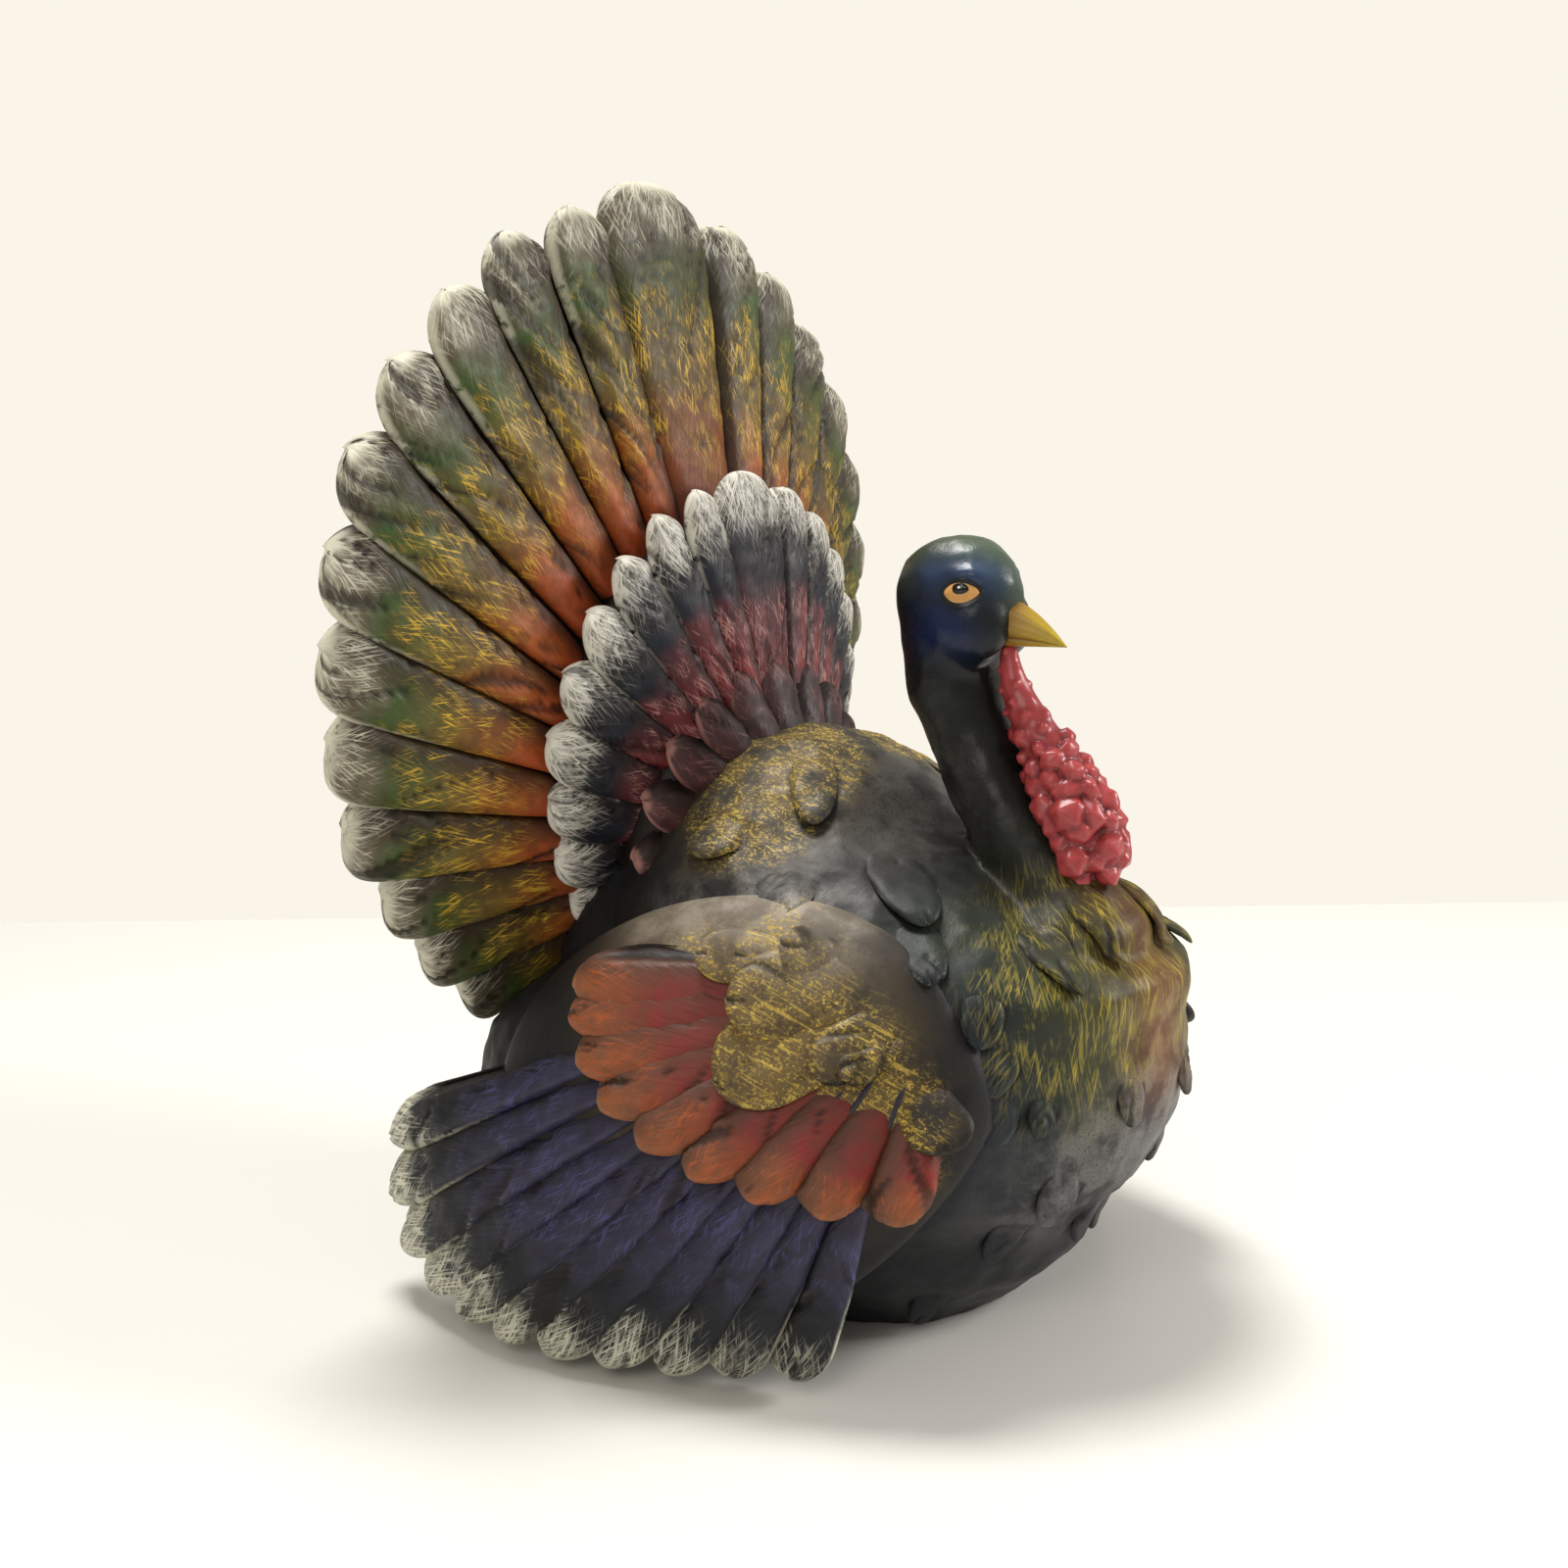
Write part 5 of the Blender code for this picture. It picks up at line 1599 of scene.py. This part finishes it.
def lump_tree():
    """Scatter lumps over a core, larger towards its foot."""
    sockets = [("Lump", "Object"), ("Paint", "Material"), ("Seed", "Int")]
    for label in ("Spacing", "Top height", "Foot height", "Top size", "Foot size"):
        sockets.append((label, "Float"))
    tree, given = new_tree("scatter_lumps", sockets)
    spread = add(
        tree, "GeometryNodeDistributePointsOnFaces", {"distribute_method": "POISSON"},
        {
            "Mesh": given["Geometry"], "Distance Min": given["Spacing"], "Density Max": 900000.0,
            "Seed": given["Seed"],
        },
    )
    lift = add(tree, "ShaderNodeSeparateXYZ", {}, add(tree, "GeometryNodeInputPosition"))
    size = add(
        tree, "ShaderNodeMapRange", {}, lift.outputs["Z"], given["Foot height"], given["Top height"],
        given["Foot size"], given["Top size"],
    )
    uneven, turned = [
        add(
            tree, "FunctionNodeRandomValue", {"data_type": "FLOAT_VECTOR"},
            {0: (low,) * 3, 1: (high,) * 3, "Seed": given["Seed"]},
        )
        for low, high in ((0.6, 1.25), (0.0, 6.28))
    ]
    scaled = add(tree, "ShaderNodeVectorMath", {"operation": "SCALE"}, {0: uneven, "Scale": size})
    lump = add(tree, "GeometryNodeObjectInfo", {}, {"Object": given["Lump"]})
    lumps = add(
        tree, "GeometryNodeInstanceOnPoints", {},
        {"Points": spread, "Instance": lump.outputs["Geometry"], "Rotation": turned, "Scale": scaled},
    )
    real = add(tree, "GeometryNodeRealizeInstances", {}, {"Geometry": lumps})
    whole = tree.nodes.new("GeometryNodeJoinGeometry")
    tree.links.new(real.outputs[0], whole.inputs[0])
    tree.links.new(given["Geometry"], whole.inputs[0])
    return end_tree(tree, whole, given["Paint"])


def wattle_resin():
    """Glossy red acrylic on cast polyresin, whose hollows are painted darker, partly as a wash and partly as
    painted shade.
    """
    material, tree, shader = new_paint("wattle_gloss_acrylic_on_resin")
    place = add(tree, "ShaderNodeTexCoord").outputs["Object"]
    shape = add(tree, "ShaderNodeNewGeometry").outputs["Pointiness"]
    uneven = add(tree, *SCALED_SUM, clouds(tree, place, 1 / 300, 4.0, 0.6), 0.08, -0.04)
    # Hollows painted dark red, partly as painted shade
    hollow_shade = add(tree, *SOFT_STEP, add(tree, *SUM, shape, uneven), 0.44, 0.53)
    paint = add(tree, *COAT_OVER, hollow_shade, colour("601a20"), colour("b04446"))
    tree.links.new(paint.outputs[0], shader.inputs["Base Color"])
    shader.inputs["Roughness"].default_value = 0.32
    shader.inputs["IOR"].default_value = 1.5
    return material


WATTLE_PAINT = wattle_resin()
lump = lump_blank()
core = fuse("wattle_core", wattle_core(), 0.0009, 6, {"Broad marks": 1.0, "Fine marks": 1.0})
give_inputs(
    core.modifiers.new("lumps", "NODES"), lump_tree(),
    {
        "Lump": lump, "Paint": WATTLE_PAINT, "Seed": 4, "Spacing": 0.0040,
        "Top height": HEAD_Z - HEAD_HEIGHT * 0.7, "Foot height": BODY_HEIGHT * 0.90,
        "Top size": 0.0020, "Foot size": 0.0080,
    },
)
melt(core, 0.00045, 8)
wattle = settle(core, "wattle")
finish_piece(wattle, WATTLE_PAINT)
print("wattle", len(wattle.data.polygons), "faces")


# %% [markdown]
# ## The beak
# The real beak is a short bent cone, cut with flat facets and a thin mouth line, and painted
# ochre with a lemon tip. Rings along a bent line make it directly, with the mouth pressed in
# as a narrow groove. A remesh would be simpler, but it would wash so fine a line out.

# %% The beak
def beak_paint():
    """Beak acrylic: ochre at the root, lemon towards the tip, a brown mouth line."""
    material, tree, shader = new_paint("beak_acrylic_on_resin")
    along = add(tree, "ShaderNodeAttribute", {"attribute_name": "along"}).outputs["Fac"]
    mouth = add(tree, "ShaderNodeAttribute", {"attribute_name": "mouth"}).outputs["Fac"]
    place = add(tree, "ShaderNodeTexCoord").outputs["Object"]
    uneven = add(tree, *SCALED_SUM, clouds(tree, place, 1 / 500, 5.0, 0.6), 0.6, -0.3)
    ramp = add(tree, "ShaderNodeValToRGB", {}, add(tree, *SUM, along, uneven))
    ramp.color_ramp.elements[0].color = colour("8c6026")
    ramp.color_ramp.elements[1].color = colour("b8a02c")
    lined = add(tree, *COAT_OVER, mouth, ramp, colour("6a4a1c"))
    tree.links.new(lined.outputs[0], shader.inputs["Base Color"])
    shader.inputs["Roughness"].default_value = 0.36
    return material


def beak_piece():
    rows = 36
    count = 72
    root_y = HEAD_Y - HEAD_LENGTH * 0.36
    root_z = HEAD_Z - HEAD_HEIGHT * 0.15
    turn = 2 * np.pi * np.arange(count) / count
    folded = np.minimum(turn, 2 * np.pi - turn)
    mouth = np.exp(-(((folded - math.radians(52)) / math.radians(5)) ** 2))
    facets = 1 + 0.035 * np.cos(7 * (turn - np.pi))
    share = (np.arange(rows) / rows)[:, None]
    size = BEAK_LENGTH * 0.34 * (1 - share**1.7)
    drop = BEAK_LENGTH * (0.08 * share + 0.24 * share * share)
    reach = size * facets[None, :] - 0.00035 * mouth[None, :] * np.minimum(size / 0.002, 1)
    x = 0.86 * reach * np.sin(turn)[None, :]
    y = root_y - BEAK_LENGTH * share + 0 * x
    z = root_z - drop - reach * np.cos(turn)[None, :]
    points, faces = ring_shell(np.stack([x, y, z], -1))
    points[-1] = np.array((0, root_y - BEAK_LENGTH, root_z - BEAK_LENGTH * 0.32))
    piece = link("beak", mesh_from("beak", points, [face[::-1] for face in faces]))
    store(piece.data, "along", [*(share + 0 * x).ravel(), 0, 1])
    store(piece.data, "mouth", [*(mouth[None, :] + 0 * x).ravel(), 0, 0])
    return piece


beak = beak_piece()
finish_piece(beak, beak_paint())
print("beak", len(beak.data.polygons), "faces")

# %% [markdown]
# ## The eyes
# On the real head each eye is a low bulge with painted lid, iris, pupil and one white dot.
# Paint alone would stay flat, so each is a thin dome whose rings are dropped on the head
# along X. The pupil stands a little proud and is the glossiest, so that it looks wet.

# %% The eyes
EYE_Y = HEAD_Y - HEAD_LENGTH * 0.20
EYE_Z = HEAD_Z + HEAD_HEIGHT * 0.075
head_tree = BVHTree.FromObject(trunk, bpy.context.evaluated_depsgraph_get())


def eye_dome(side, name, centre, reach, corner, lift, dome, paint):
    """Thin closed dome on the head: corner 2 gives a round one, 1 a pointed almond."""
    rows = 10
    count = 40
    turn = 2 * np.pi * np.arange(count) / count
    rim_y = reach[0] * np.cos(turn)
    rim_z = reach[1] * np.sign(np.sin(turn)) * np.abs(np.sin(turn)) ** (2 / corner)
    rings = []
    for share, sunk in [(0.25, 1), (0.6, 1), (0.95, 1)] + [(1 - (k / rows) ** 2, 0) for k in range(rows)]:
        ring = []
        for k in range(count):
            y = centre[0] + rim_y[k] * share
            z = centre[1] + rim_z[k] * share
            spot, normal, _, _ = head_tree.ray_cast(Vector((side * 0.05, y, z)), Vector((-side, 0, 0)))
            rise = -0.0006 if sunk else lift + dome * (1 - share * share)
            ring.append(tuple(spot + normal * rise))
        rings.append(ring)
    points, faces = ring_shell(rings)
    faces = faces if side > 0 else [face[::-1] for face in faces]
    finish_piece(link(name, mesh_from(name, points, faces)), paint)


LID_PAINT = plain_material("eyelid_acrylic_on_resin", "121517", 0.32)
IRIS_PAINT = plain_material("iris_acrylic_on_resin", "d09a58", 0.25)
PUPIL_PAINT = plain_material("pupil_gloss_acrylic", "080706", 0.10)
GLINT_PAINT = plain_material("glint_acrylic", "f4f2ec", 0.30)
for side, label in SIDES:
    for name, shift, reach, corner, lift, dome, paint in (
        ("_lid", (0, 0), (0.0045, 0.0032), 1.5, 0.0003, 0.0003, LID_PAINT),
        ("_iris", (0, 0), (0.0036, 0.0023), 1.5, 0.0004, 0.0007, IRIS_PAINT),
        ("_pupil", (0, 0.0008), (0.0016, 0.0014), 2.0, 0.0010, 0.0004, PUPIL_PAINT),
        ("_glint", (0.0003, 0.0011), (0.00030, 0.00030), 2.0, 0.0014, 0.0001, GLINT_PAINT),
    ):
        centre = (EYE_Y + shift[0], EYE_Z + shift[1])
        eye_dome(side, label + name, centre, reach, corner, lift, dome, paint)
print("eye centre y and z:", round(EYE_Y, 4), round(EYE_Z, 4))

# %% [markdown]
# ## Clearing up
# The blanks and skins were tools, like a carver's templates. They aren't part of the bird, so
# they go.

# %% Clear the blanks and skins
for scrap in (
    tail_blank, covert_blank, lobe_blank, wing_blank, shield_blank, scale_blank, leaf_blank, lump,
    rear_blank, tail_skin, covert_skin, lobe_skin,
):
    bpy.data.objects.remove(scrap)
